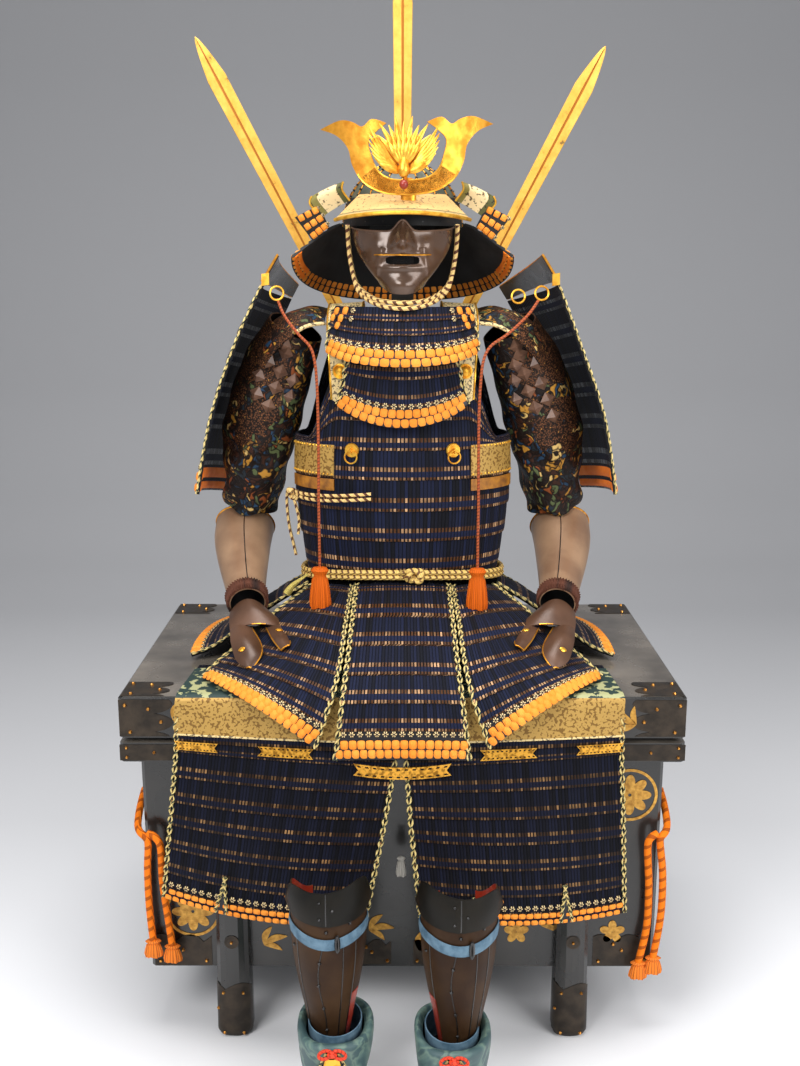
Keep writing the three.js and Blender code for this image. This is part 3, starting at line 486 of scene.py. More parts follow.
def lacing(long_hex, band_hex, tick_dark, tick_light_and_glint):
    """Colour rows by the fraction of v inside a lame, and round each lace by the distance
    from its middle, which is |fract(u) - 0.5| * 2: a bump, and painted shade that darkens
    each lace towards its edges. Some tick heads take a lighter colour as painted glints."""
    def draw(t):
        place = node(t, "SeparateXYZ", node(t, "TexCoord", out="UV"))
        u, v = place, place.node.outputs[1]
        edge = node(t, "Math", node(t, "Math", node(t, "Math", u, operation="FRACT"), 0.5,
                                    operation="SUBTRACT"), operation="ABSOLUTE")
        inside = node(t, "Math", v, operation="FRACT")
        cell = node(t, "CombineXYZ", node(t, "Math", u, operation="FLOOR"),
                    node(t, "Math", v, operation="FLOOR"))
        tone = node(t, "TexWhiteNoise", cell, out="Value")
        patch = node(t, "TexNoise", node(t, "TexCoord", out="Object"), Scale=22.0, Detail=3.0)
        blue = node(t, "Mix", tone, long_hex, band_hex, data_type="RGBA")
        band = node(t, "ValToRGB", inside, stops=[
            [0, "#000000"], [0.55, "#000000"], [0.68, "#ffffff"], [1, "#ffffff"]])
        blue = node(t, "Mix", band, blue, band_hex, data_type="RGBA")
        # painted shade: each lace darkens towards its edges and into the gaps between laces
        seam = node(t, "ValToRGB", edge, stops=[[0.30, "#ffffff"], [0.48, "#202020"]])
        blue = node(t, "Mix", 0.85, blue, seam, data_type="RGBA", blend_type="MULTIPLY")
        rows = node(t, "ValToRGB", inside, stops=[
            [0, "#000000"], [0.56, "#ffffff"], [0.71, "#000000"], [0.90, "#ffffff"]])
        rows.node.color_ramp.interpolation = "CONSTANT"
        head = node(t, "Math", edge, 0.30, operation="LESS_THAN")
        # the tick heads run from brown to cream, and where the noise peaks the light end is a painted glint
        tick_tone_with_painted_glints = node(t, "ValToRGB", node(t, "Math", tone, patch, operation="MULTIPLY"), stops=[
            [0.2, tick_dark], [0.62, tick_light_and_glint]])
        tick = node(t, "Mix", head, "#0b0a0c", tick_tone_with_painted_glints, data_type="RGBA")
        colour = node(t, "Mix", rows, blue, tick, data_type="RGBA")
        ridge = node(t, "Math", node(t, "Math", edge, edge, operation="MULTIPLY"), -4.0, 1.0,
                     operation="MULTIPLY_ADD")
        height = node(t, "Math", node(t, "Math", rows, head, operation="MULTIPLY"), ridge,
                      operation="ADD")
        rough = node(t, "Math", rows, -0.3, 0.72, operation="MULTIPLY_ADD")
        relief = node(t, "Bump", Strength=0.7, Distance=0.0012, Height=height)
        return {"Base Color": colour, "Roughness": rough, "Normal": relief}
    return draw


navy_lacing = finish("silk lacing, navy", lacing("#0e0f16", "#191f38", "#4e2f18", "#d6a87c"),
                     Sheen_Weight=0.03, Sheen_Roughness=0.4, Specular_IOR_Level=0.15)
# The same navy lacing made darker for the thigh guards: painted shade.
navy_lacing_painted_shade = finish("silk lacing, navy darkened as painted shade", lacing("#0a0a10", "#141728", "#2e1e12", "#9a744c"),
                     Sheen_Weight=0.02, Sheen_Roughness=0.4, Specular_IOR_Level=0.12)
print("finishes so far:", len(bpy.data.materials))

# %% [markdown]
# ### Plain finishes
#
# Lacquer and cloth need one colour with a little cloud in it, and a fine grain.

# %% Plain and laced finishes
def plain(colour, spot, scale, rough, grain=0.0, grain_scale=400.0):
    """One colour, clouded with a second, with a fine grain pressed in."""
    def draw(t):
        where = node(t, "TexCoord", out="Object")
        cloud = node(t, "TexNoise", where, Scale=scale, Detail=4.0)
        tone = node(t, "ValToRGB", cloud, stops=[[0.35, colour], [0.65, spot]])
        outputs = {"Base Color": tone}
        low, high = rough
        outputs["Roughness"] = node(t, "MapRange", cloud, 0.3, 0.7, low, high)
        if grain:
            fine = node(t, "TexNoise", where, Scale=grain_scale, Detail=3.0)
            outputs["Normal"] = node(t, "Bump", Strength=grain, Distance=0.0006, Height=fine)
        return outputs
    return draw


scale_back = finish("lacquered scales, back", lacing("#0d0907", "#12182c", "#0b0a0c", "#8d949c"),
                    Specular_IOR_Level=0.3)
hem_ground = finish("black lacquer under the hem", plain("#0c0c12", "#15161f", 40, (0.35, 0.6)))
print("finishes so far:", len(bpy.data.materials))

# %% [markdown]
# ### Knots and cords
#
# Cross-knots show threads laid side by side, flower knots show petals, and twisted cords show
# slanted stripes. Each is a sine of the mesh's own u and v, so it follows the thread.

# %% Knots and cords of silk
def cushion(colour, shade):
    """Silk laid over and over: threads run across the cushion, and each cushion takes its own tone between
    the two colours at random.
    """
    def draw(t):
        place = node(t, "SeparateXYZ", node(t, "TexCoord", out="UV"))
        u, v = place, place.node.outputs[1]
        number = node(t, "Math", node(t, "Math", u, 2.0, operation="ADD"), 4.0, operation="DIVIDE")
        tone = node(t, "TexWhiteNoise", node(t, "CombineXYZ", node(t, "Math", number,
                                                                   operation="FLOOR")), out="Value")
        base = node(t, "Mix", tone, colour, shade, data_type="RGBA")
        thread = node(t, "Math", node(t, "Math", v, 22.0, operation="MULTIPLY"), operation="SINE")
        relief = node(t, "Bump", Strength=0.25, Distance=0.0004, Height=thread)
        return {"Base Color": base, "Normal": relief}
    return draw


orange_silk = finish("silk cross-knots, orange", cushion("#fda340", "#f38c2a"), Roughness=0.6,
                     Specular_IOR_Level=0.2)


def flower(petal, gap, heart):
    """Petals by the angle round the knot's middle, a dark heart in the centre."""
    def draw(t):
        place = node(t, "SeparateXYZ", node(t, "TexCoord", out="UV"))
        u, v = place, place.node.outputs[1]
        shifted = node(t, "Math", u, 2.0, operation="ADD")
        local = node(t, "Math", node(t, "Math", node(t, "Math", shifted, 4.0, operation="DIVIDE"),
                                     operation="FRACT"), 4.0, -2.0, operation="MULTIPLY_ADD")
        radius = node(t, "Math", node(t, "Math", local, local, operation="MULTIPLY"),
                      node(t, "Math", v, v, operation="MULTIPLY"), operation="ADD")
        turn = node(t, "Math", v, local, operation="ARCTAN2")
        waves = node(t, "Math", node(t, "Math", turn, 6.0, operation="MULTIPLY"), operation="COSINE")
        colour = node(t, "ValToRGB", waves, stops=[[0.0, gap], [0.35, petal]])
        middle = node(t, "Math", radius, 0.12, operation="LESS_THAN")
        colour = node(t, "Mix", middle, colour, heart, data_type="RGBA")
        return {"Base Color": colour}
    return draw


flower_knot = finish("silk flower knots, cream and brown", flower("#ead39a", "#4a2d1c", "#2b1a12"),
                     Roughness=0.7)


def two_tone_cord(light, dark, pitch, share=0.42):
    """Slanted stripes: the sine of turns round plus distance along over the pitch."""
    def draw(t):
        place = node(t, "SeparateXYZ", node(t, "TexCoord", out="UV"))
        u, v = place, place.node.outputs[1]
        phase = node(t, "Math", node(t, "Math", v, 2 * math.pi / pitch, operation="MULTIPLY"),
                     node(t, "Math", u, 2 * math.pi, operation="MULTIPLY"), operation="ADD")
        wave = node(t, "Math", phase, operation="SINE")
        colour = node(t, "ValToRGB", wave, stops=[[0.0, light], [share, light], [share + 0.15, dark]])
        relief = node(t, "Bump", Strength=0.5, Distance=0.0006, Height=wave)
        return {"Base Color": colour, "Normal": relief}
    return draw


edge_cord = finish("edge cord, cream and green silk", two_tone_cord("#d8c07a", "#2c3a2c", 14.0),
                   Roughness=0.65)
print("finishes so far:", len(bpy.data.materials))

# %% [markdown]
# ## Cords
#
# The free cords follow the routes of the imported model: a smooth curve through a few
# points, a circle carried along it, and a tassel or knot at the end.

# %% Cord helpers
def route(points, count):
    """Evenly spaced places along a Catmull-Rom curve through the points, and its length."""
    fine = through(points, np.linspace(0, 1, 400))
    run = np.concatenate([[0], np.cumsum(np.linalg.norm(np.diff(fine, axis=0), axis=1))])
    wanted = np.linspace(0, run[-1], count)
    return np.stack([np.interp(wanted, run, fine[:, k]) for k in range(3)], -1), run[-1] * MM


def cord(name, points, radius, finishes, count=60, aside=(0, 1, 0), sides=8, node_name=(), **claim):
    path, length = route(points, count)
    tube_points, faces, uv = swept(path, radius, sides, aside)
    made = piece(name, tube_points, faces, finishes, uv, instead_of=node_name)
    tuple(to_frame(path[0]))
    [tuple(p) for p in to_frame(path)]
    print(name, "is", round(length, 3), "m long")
    return made, path


def tassel(top, length, radius):
    """A tassel: a ribbed bell of threads under a round head, turned about a vertical line."""
    share = column([0, 0.02, 0.1, 0.18, 0.22, 0.3, 0.6, 0.85, 1.0])
    size = column([0.15, 0.7, 0.95, 0.7, 0.62, 0.8, 0.95, 1.05, 0.98]) * radius
    spin = 2 * np.pi * np.arange(36) / 36
    rib = 1 + 0.10 * np.cos(12 * spin)[None, :] * smooth(share, 0.2, 0.4)[:, None]
    ragged = 1 + 0.03 * np.sin(5 * spin + 1)[None, :] * smooth(share, 0.8, 1.0)[:, None]
    x = size[:, None] * rib * np.cos(spin)[None]
    y = size[:, None] * rib * np.sin(spin)[None] * 0.62
    z = -(share * length)[:, None] * ragged
    points = (stack(x, y, z) + column(top)).reshape(-1, 3)
    faces = grid(len(share) - 1, 36, wrap=True)
    fan = np.arange(1, 35, 2)
    cap = np.stack([np.zeros_like(fan), fan, fan + 1, np.minimum(fan + 2, 35)], -1)
    last = (len(share) - 1) * 36
    faces = np.concatenate([faces, cap, last + cap[:, ::-1]])
    uv = np.stack(np.broadcast_arrays(spin[None] / (2 * np.pi) * 12, share[:, None] * 3), -1).reshape(-1, 2)
    return points, faces, uv


def threads(colour, shade, count):
    """Fine threads side by side: the sine of u times the thread count."""
    def draw(t):
        place = node(t, "SeparateXYZ", node(t, "TexCoord", out="UV"))
        wave = node(t, "Math", node(t, "Math", place, count, operation="MULTIPLY"), operation="SINE")
        tone = node(t, "ValToRGB", wave, stops=[[0.0, colour], [0.6, colour], [1.0, shade]])
        return {"Base Color": tone, "Normal": node(t, "Bump", Strength=0.5, Distance=0.0006, Height=wave)}
    return draw


tassel_silk = finish("silk threads, vermilion", threads("#d2600e", "#9c3a08", 14.0), Roughness=0.6,
                     Specular_IOR_Level=0.15)
cord_silk = finish("silk cord, burnt orange", two_tone_cord("#a8480e", "#74300c", 6.0), Roughness=0.6)
gold_braid = finish("braid, gold and brown silk", two_tone_cord("#e6c06a", "#6a4420", 12.0), Roughness=0.6)
chin_braid = finish("twisted cord, cream and brown", two_tone_cord("#eac57c", "#5a3018", 16.0, 0.25),
                    Roughness=0.65)

# %% [markdown]
# ### Tassel cords, side cord and chin cord
#
# Two silk cords hang down the breast to their tassels. The side cord closes the cuirass on the
# left, and a twisted cord ties the helmet under the chin. Each path is set by a few points.

# %% Tassel cords, side cord and chin cord
TASSEL = {"top": 840, "length": 76, "radius": 17}
TASSEL_LEFT = [[-216, -116, 1306], [-204, -132, 1280], [-180, -152, 1250], [-158, -162, 1228],
               [-150, -166, 1204], [-147, -165, 1170], [-146, -162, 1120], [-146, -160, 1040],
               [-147, -158, 960], [-147, -156, 890], [-147, -155, 836]]
TASSEL_RIGHT = [[236, -116, 1306], [216, -132, 1280], [182, -152, 1250], [150, -162, 1228],
                [138, -166, 1204], [134, -166, 1170], [132, -164, 1120], [132, -163, 1040],
                [133, -163, 960], [133, -163, 890], [133, -163, 836]]
for side, points in (("left", TASSEL_LEFT), ("right", TASSEL_RIGHT)):
    end = column([points[-1][0], points[-1][1], TASSEL["top"]])
    silk = tassel(end, TASSEL["length"], TASSEL["radius"])
    bell = joined(f"tassel_{side}", [silk], [tassel_silk])
    cord(f"tassel_cord_{side}_silk", points, 2.5, [cord_silk], aside=(0, 1, 0),
         node_name=[f"tassel_cord_{side}"], far_end="knot", stiffness="limp", lay="hanging",
         with_pieces=[bell])
SIDE_CORD = [[-56, -124, 965], [-90, -119, 962], [-124, -108, 959], [-156, -90, 957], [-184, -64, 955],
             [-204, -34, 955], [-214, -10, 954], [-218, 2, 940], [-218, 2, 915], [-214, -2, 880],
             [-206, -6, 845], [-202, -8, 826]]
SECOND_STRAND = column(SIDE_CORD[:6]) + column([[0, -1, -9]] * 4 + [[0, -1, -7], [2, -1, -3]])
SECOND_TAIL = [[-205, -36, 950], [-198, -40, 930], [-193, -34, 900], [-195, -32, 872]]
spin = np.linspace(0, 2 * np.pi, 24, endpoint=False)
KNOT = column([-204, -40, 950])
knot_loops = [swept(KNOT + stack((5 + 3 * k) * np.cos(spin + k), 3 * np.sin(2 * spin + k), 9 * np.sin(spin)),
                    3.0, 6, (0, 1, 0.1), looped=True) for k in (0, 1)]
strands = [swept(route(one, 40)[0], 3.0, 8, (0.3, 0.9, 0.3)) for one in (SECOND_STRAND, SECOND_TAIL)]
side_knot = joined("side_cord_knot", strands + knot_loops, [chin_braid])
cord("side_cord_silk", SIDE_CORD, 3.0, [chin_braid], aside=(0.3, 0.9, 0.3), node_name=["side_cord"],
     far_end="knot", stiffness="limp", lay="hanging", with_pieces=[side_knot])
CHIN_HALF = [[-96, -64, 1432], [-95, -52, 1400], [-91, -52, 1366], [-80, -76, 1330], [-50, -116, 1307],
             [-16, -140, 1301]]
CHIN = CHIN_HALF + [[-x, y, z] for x, y, z in CHIN_HALF[::-1]]
UNDER_CHIN = [[-86, -66, 1344], [-76, -86, 1318], [-46, -124, 1298], [0, -146, 1291],
              [46, -124, 1298], [76, -86, 1318], [86, -66, 1344]]
lower = swept(route(UNDER_CHIN, 60)[0], 4.2, 8, (0.05, 1, 0.3))
under_chin = joined("chin_cord_lower", [lower], [chin_braid])
cord("chin_cord_silk", CHIN, 4.2, [chin_braid], count=90, aside=(0.05, 1, 0.3), node_name=["chin_cord"],
     far_end="object", stiffness="limp", lay="taut", with_pieces=[under_chin])

# %% [markdown]
# ### Chest ropes
#
# A chest is carried on ropes. Two strands leave each side through one knot and end in frayed
# tufts, so each side is two cords with a tassel of thick threads.

# %% Chest ropes
ROPES = {
    "left": [[[-467, -200, 436], [-469, -232, 418], [-468, -262, 400], [-462, -280, 392],
              [-450, -290, 386], [-446, -288, 372], [-450, -284, 320], [-450, -284, 250], [-446, -284, 182]],
             [[-446, -288, 392], [-432, -292, 386], [-424, -290, 366], [-424, -286, 300], [-418, -284, 230],
              [-412, -284, 172]]],
    "right": [[[467, -200, 436], [469, -232, 418], [468, -262, 400], [462, -280, 392], [452, -290, 386],
               [452, -288, 372], [460, -284, 310], [460, -284, 230], [450, -284, 150]],
              [[446, -288, 392], [434, -292, 386], [430, -290, 366], [436, -286, 290], [436, -284, 210],
               [424, -284, 140]]],
}
rope_silk = finish("braided rope, orange cotton", two_tone_cord("#f27c14", "#a8500f", 20.0), Roughness=0.75,
                   Specular_IOR_Level=0.2)
rope_fringe = finish("frayed rope, orange cotton", threads("#ee7f1c", "#a04a0e", 9.0), Roughness=0.8)
for side, strands in ROPES.items():
    for number, points in enumerate(strands):
        end = column(points[-1]) + [0, 0, 2]
        silk = tassel(end, 32, 15)
        fringe = joined(f"rope_{side}_{number + 1}_fringe", [silk], [rope_fringe])
        cord(f"rope_{side}_{number + 1}", points, 6.5, [rope_silk], aside=(0.15, 0.9, 0.1), sides=10,
             node_name=[f"chest_rope_{side}"] if number == 0 else [], far_end="knot", stiffness="limp",
             lay="hanging", with_pieces=[fringe])

# %% [markdown]
# ### Boards of lames
#
# Scales tied side by side make a lame, and lames laced one under the other make a board. The
# board is one wall with a small step at each lame; separate scales would be tens of thousands
# of parts that nobody sees. Hems are rows of cushions, for knots are raised silk.

# %% Laced boards
FOOT_SHAPE = [0.0, 0.35, 0.7, 0.93, 1.0]
FOOT_LIFT = [0.5, 1.7, 2.8, 3.4, 3.0]


def lengths(points):
    """Total length of each row of points."""
    return np.linalg.norm(np.diff(points, axis=-2), axis=-1).sum(-1)


def laced(name, face, feet, node_name, cols=16, hem_lames=1, finishes=None, wrap=False):
    """A laced board. feet lists v at the head and at each lame's foot. Each lame slopes out
    to its foot by FOOT_LIFT and the next one starts back at the board. The laces of a lame
    are its width over the lace's width, to the nearest whole lace."""
    v, lift, down, counts = [], [], [], []
    across = np.linspace(0, 1, 25)
    for lame, (head, foot) in enumerate(zip(feet[:-1], feet[1:])):
        seam = 0.02 * (foot - head) if lame else 0
        share = column(FOOT_SHAPE)
        middle = np.full_like(across, (head + foot) / 2)
        count = round(float(lengths(face(across, middle))) / LACE)
        v += list(head + seam + (foot - head - seam) * share)
        lift += FOOT_LIFT
        down += list(lame + share * 0.998)
        counts += [count] * len(share)
    points, faces, uv, is_back = wall(face, cols, v, lift, wrap=wrap, counts=counts, down=down)
    rows = len(v) - 1
    which = is_back.copy()
    hem_rows = rows - hem_lames * len(FOOT_SHAPE)
    row_of = np.arange(rows * cols) // cols
    which[:rows * cols] = np.where(row_of > hem_rows, 2, 0)
    which[2 * rows * cols:] = 1
    return piece(name, points, faces, finishes or [navy_lacing, scale_back, hem_ground], uv, which,
                 instead_of=[node_name])


def hem_rows(face, v_flowers, v_rows, width=14.0, height=15.4, inset=0.02):
    """Orange cross-knots in rows at v_rows and flower knots at v_flowers, as many as the
    row's length takes."""
    shapes, which = [], []
    across = np.linspace(0, 1, 25)
    for row, (v_row, kind) in enumerate([(v_row, 0) for v_row in v_rows] + [(v_flowers, 1)]):
        length = float(lengths(face(across, np.full_like(across, v_row))))
        count = max(2, round(length / (width + 0.7)))
        shift = 0.5 + 0.22 * (-1) ** row * (kind == 0)
        u = inset + (1 - 2 * inset) * (np.arange(count) + shift) / count
        w = length * (1 - 2 * inset) / count * (0.93 if kind == 0 else 0.72)
        h = height if kind == 0 else w
        shapes.append(pillows(face, u, v_row, w, h, 3.2 if kind == 0 else 1.6,
                              square=0.28 if kind == 0 else 0.85))
        which.append(np.full(len(shapes[-1][1]), kind))
    return merged(shapes), np.concatenate(which)


def edge_cords(face, feet, sides_of=(0, 1), radius=1.7, spread=3.4, pitch=38.0, lift=3.2):
    """Two strands crossing each other down a board's edge, with open eyes between: the edge
    line plus spread * cos(phase) along the face and 1.3 * sin(phase) outward."""
    shapes = []
    for u_edge in sides_of:
        v = np.linspace(feet[0], feet[-1], 120)
        u = np.full_like(v, float(u_edge))
        line = face(u, v)
        outward = normals(face, u, v)
        inward = unit(face(np.full_like(v, 0.5), v) - line)
        run = np.concatenate([[0], np.cumsum(np.linalg.norm(np.diff(line, axis=0), axis=1))])
        for strand in (0, math.pi):
            phase = 2 * np.pi * run / pitch + strand
            path = (line + outward * (lift + 1.3 * np.sin(phase))[:, None]
                    + inward * (2.6 + spread * np.cos(phase))[:, None])
            shapes.append(swept(path, radius, 6, aside=outward[45]))
    return merged(shapes)


def trimmed(name, face, feet, v_flowers, v_rows, width=14.0, height=15.4, edges=(0, 1)):
    """The hem and the edge cords of a board, as one piece."""
    (points, faces, uv), which = hem_rows(face, v_flowers, v_rows, width, height)
    if edges:
        cords = edge_cords(face, feet, edges)
        which = np.concatenate([which, np.full(len(cords[1]), 2)])
        points, faces, uv = merged([(points, faces, uv), cords])
    return piece(name, points, faces, [orange_silk, flower_knot, edge_cord], uv, which)


print("laced board helpers ready")

# %% [markdown]
# ## The skirt
#
# Seven laced panels hang from the cuirass and spread over the chest's lid. Each is seven
# lames deep, with a hem of flower knots over two rows of orange cross-knots.

# %% Skirt panels
SKIRT_FRONT = hung(out=[0, -0.85, 0.5], rungs=[
    [-86, -88, 789, 86, -88, 789, 12], [-90, -200, 754, 90, -200, 754, 8],
    [-96, -285, 700, 96, -285, 700, 8], [-103, -328, 648, 103, -328, 648, 8],
    [-115, -342, 552, 115, -342, 552, 8]])
SKIRT_FRONT_LEFT = hung(out=[-0.15, -0.8, 0.6], rungs=[
    [-172, -42, 776, -91, -88, 786, 8], [-232, -112, 742, -97, -200, 752, 14],
    [-290, -165, 700, -104, -285, 699, 16], [-326, -198, 676, -118, -330, 650, 36],
    [-350, -218, 656, -146, -342, 572, 58]])
SKIRT_SIDE_LEFT = hung(out=[-0.8, 0, 0.6], rungs=[
    [-172, 56, 780, -177, -34, 776, 8], [-228, 80, 744, -240, -58, 742, 10],
    [-282, 108, 700, -302, -74, 700, 12], [-322, 132, 668, -350, -86, 668, 14],
    [-350, 152, 654, -392, -96, 654, 16]])
SKIRT_BACK_LEFT = hung(out=[0, 0.85, 0.5], rungs=[
    [-3, 110, 789, -164, 66, 780, 10], [-3, 192, 756, -200, 124, 748, 10],
    [-3, 268, 706, -226, 196, 708, 10], [-4, 318, 656, -240, 300, 668, 6],
    [-5, 334, 562, -250, 322, 580, 6]])
SKIRT_FEET = column([0, 0.07, 0.235, 0.395, 0.57, 0.755, 0.865, 1])
SKIRT_HEM = {"flowers": 0.877, "rows": (0.918, 0.962)}


def skirt_panel(name, face):
    """A laced panel with its trimmings, hanging from the waist."""
    board = laced(name + "_laced", face, SKIRT_FEET, name, cols=18)
    trim = trimmed(name + "_trim", face, SKIRT_FEET, SKIRT_HEM["flowers"], SKIRT_HEM["rows"])
    return declare_sheet(board, face)


def declare_sheet(board, face):
    """Works out the mean length of the rows and of the columns of the flat cut, which nothing uses, and
    returns the board.
    """
    u, v = np.meshgrid(np.linspace(0, 1, 25), np.linspace(0, 1, 25))
    points = face(u, v)
    across = lengths(points)
    down = lengths(points.transpose(1, 0, 2))
    return board


skirt_panel("skirt_front", SKIRT_FRONT)
for place, shape in (("front", SKIRT_FRONT_LEFT), ("side", SKIRT_SIDE_LEFT), ("back", SKIRT_BACK_LEFT)):
    skirt_panel(f"skirt_{place}_left", shape)
    skirt_panel(f"skirt_{place}_right", mirrored(shape))

# %% [markdown]
# ## The cuirass
#
# Eight laced lames go round the trunk, from the yoke down to the waist.

# %% Cuirass
WAIST, SIDE_TOP, TRUNK_Y = 800, 1050, 5
FRONT_TOP, BACK_TOP = 1205, 1255
YOKE_SHARE = 0.35
TRUNK = [[800, 178, 100, 100], [870, 189, 108, 110], [940, 198, 114, 117], [1010, 199, 117, 123],
         [1080, 195, 114, 126], [1150, 186, 108, 126], [1220, 172, 98, 122], [1290, 158, 86, 114]]


def trunk_point(turn, z):
    """A point of the trunk: half width times sin(turn) and depth times cos(turn), where the
    depth in front differs from the depth behind."""
    z = column(z)
    section = through(TRUNK, (z - TRUNK[0][0]) / (TRUNK[-1][0] - TRUNK[0][0]))
    depth = np.where(np.cos(turn) > 0, section[..., 2], section[..., 3])
    return stack(section[..., 1] * np.sin(turn), TRUNK_Y - depth * np.cos(turn), z)


def trunk_half(middle, top, plateau, shoulder):
    """Half of the cuirass round the turn middle. Its upper edge drops smoothly from top to
    the armhole between the turns plateau and shoulder."""
    def face(u, v):
        swing = mix(-math.pi / 2 + 0.0026, math.pi / 2 - 0.0026, u)
        rise = 1 - smooth(np.abs(swing), math.radians(plateau), math.radians(shoulder))
        head = mix(SIDE_TOP + 10, top, rise)
        z = np.where(v < YOKE_SHARE, mix(head, SIDE_TOP, v / YOKE_SHARE),
                     mix(SIDE_TOP, WAIST, (v - YOKE_SHARE) / (1 - YOKE_SHARE)))
        return trunk_point(middle + swing, z)
    return face


CUIRASS_FEET = [0, 0.125, 0.25, 0.372, 0.51, 0.66, 0.806, 0.955, 1]
CUIRASS_FRONT = trunk_half(0, FRONT_TOP, 36, 60)
CUIRASS_BACK = trunk_half(math.pi, BACK_TOP, 46, 68)
laced("cuirass_front_laced", CUIRASS_FRONT, CUIRASS_FEET, "cuirass_front", cols=60, hem_lames=0)
laced("cuirass_back_laced", CUIRASS_BACK, CUIRASS_FEET, "cuirass_back", cols=60, hem_lames=0)

# %% [markdown]
# ## The thigh guards
#
# They lie on the lid under the skirt, bend over its front edge and hang before the chest.
# The hem is split over each leg.

# %% Thigh guards
LID_TOP, EDGE = 645, -291.5
LAID = LID_TOP + 0.3 + 2
THIGH_LEFT = hung(out=[0, -1, 0], run=straight, rungs=[
    [-372, -130, LAID, -8, -130, LAID, 0, 0], [-384, EDGE - 2, LAID, -5, EDGE - 2, LAID, 0, 0],
    [-385, EDGE - 9, LAID - 5, -5, EDGE - 11, LAID - 4, 0, 0],
    [-386, EDGE - 12, 630, -6, EDGE - 18, 630, 0, 0], [-388, EDGE - 12, 556, -10, -338, 542, 8, 0],
    [-401, EDGE - 12, 440, -30, -356, 430, 14, 4], [-421, EDGE - 9, 279, -62, -370, 265, 14, 12]])
THIGH_RIGHT = hung(out=[0, -1, 0], run=straight, rungs=[
    [8, -130, LAID, 366, -130, LAID, 0, 0], [5, EDGE - 2, LAID, 376, EDGE - 2, LAID, 0, 0],
    [5, EDGE - 11, LAID - 4, 377, EDGE - 9, LAID - 5, 0, 0],
    [6, EDGE - 18, 630, 376, EDGE - 12, 630, 0, 0], [4, -338, 542, 376, EDGE - 12, 552, 8, 0],
    [12, -356, 436, 384, EDGE - 12, 420, 14, 4], [28, -370, 280, 393, EDGE - 9, 250, 14, 12]])
THIGH_FEET = [3.8 / 6, 0.672, 0.738, 0.805, 0.857, 0.903, 0.95, 1]
for side, shape in (("left", THIGH_LEFT), ("right", THIGH_RIGHT)):
    # the thigh guards take the darkened navy lacing, painted shade
    board = laced(f"thigh_{side}_laced", shape, [0, 3 / 6, *THIGH_FEET], f"thigh_guard_{side}", cols=40,
                  hem_lames=0, finishes=[navy_lacing_painted_shade, scale_back])
    trim = trimmed(f"thigh_{side}_trim", shape, [3.2 / 6, 1], 0.971, (0.985, 0.9965), height=9.2)
    declare_sheet(board, shape)

# %% [markdown]
# ## Plain walls
#
# Cloth, leather and iron pieces are smooth walls of the same kind. A relief is a function
# of u and v that moves both faces of the wall along its normal.

# %% Shells
def relieved(face, relief):
    """The face moved along its own normal by relief(u, v) millimetres."""
    return lambda u, v: face(u, v) + normals(face, u, v) * relief(u, v)[..., None]


def lifted(face, height):
    """The face moved outward by the same height everywhere."""
    return relieved(face, lambda u, v: height + 0 * u)


def shell(name, face, instead_of, finishes, cols=32, rows=24, thickness=2.0, wrap=False, v=None,
          lift=0.0):
    """A wall of even thickness; finishes are the outer and the inner one."""
    v = np.linspace(0, 1, rows + 1) if v is None else column(v)
    points, faces, uv, is_back = wall(face, cols, v, np.full(len(v), lift), thickness - lift, wrap=wrap)
    return piece(name, points, faces, finishes, uv, is_back if len(finishes) > 1 else None,
                 instead_of=instead_of)


def part_of(face, u0, u1, v0, v1):
    """A smaller face cut from a face."""
    return lambda u, v: face(mix(u0, u1, u), mix(v0, v1, v))


def edge_line(face, side, lift=0.0, count=60):
    """The border of a face: side is head, foot, left or right."""
    t = np.linspace(0, 1, count)
    u, v = {"head": (t, 0 * t), "foot": (t, 0 * t + 1), "left": (0 * t, t), "right": (0 * t + 1, t)}[side]
    return face(u, v) + normals(face, u, v) * lift


print("shells ready")

# %% [markdown]
# ### Metals, lacquers and leathers
#
# Lacquer is a clear coat over a clouded ground. Gilding is metal that has worn in patches, and
# deerskin is stencilled with small sprigs. Each finish clouds two near colours with noise, so
# no surface is flat.

# %% Metals, lacquers and leathers
def worn_gilt(colour, shade, bite=0.25, scale=60.0):
    """Gilding: soft clouds of darker metal, and fine scratches that catch the light."""
    def draw(t):
        where = node(t, "TexCoord", out="Object")
        cloud = node(t, "TexNoise", where, Scale=scale, Detail=5.0)
        tone = node(t, "ValToRGB", cloud, stops=[[0.35, shade], [0.55, colour]])
        rough = node(t, "MapRange", cloud, 0.3, 0.7, 0.48, 0.30)
        relief = node(t, "Bump", Strength=bite, Distance=0.0005,
                      Height=node(t, "TexNoise", where, Scale=scale * 5, Detail=4.0))
        return {"Base Color": tone, "Roughness": rough, "Normal": relief}
    return draw


gilt = finish("gilding on copper", worn_gilt("#f2a93a", "#b06c14"), Metallic=0.85)
bright_gilt = finish("gilding on copper, bright", worn_gilt("#ffc54a", "#d08a22"), Metallic=0.8)
russet = finish("russet lacquer on iron", plain("#5c4333", "#80604a", 14, (0.34, 0.46), 0.2, 260),
                Metallic=0.25, Coat_Weight=0.15, Coat_Roughness=0.3)
mask_russet = finish("russet lacquer on iron, polished smooth",
                     plain("#4a3424", "#664a37", 14, (0.22, 0.32), 0.15, 260),
                     Metallic=0.25, Coat_Weight=0.5, Coat_Roughness=0.15)
shin_russet = finish("russet lacquer on iron, dark", plain("#2f1d10", "#45301d", 14, (0.42, 0.55), 0.2, 260),
                     Specular_IOR_Level=0.15)
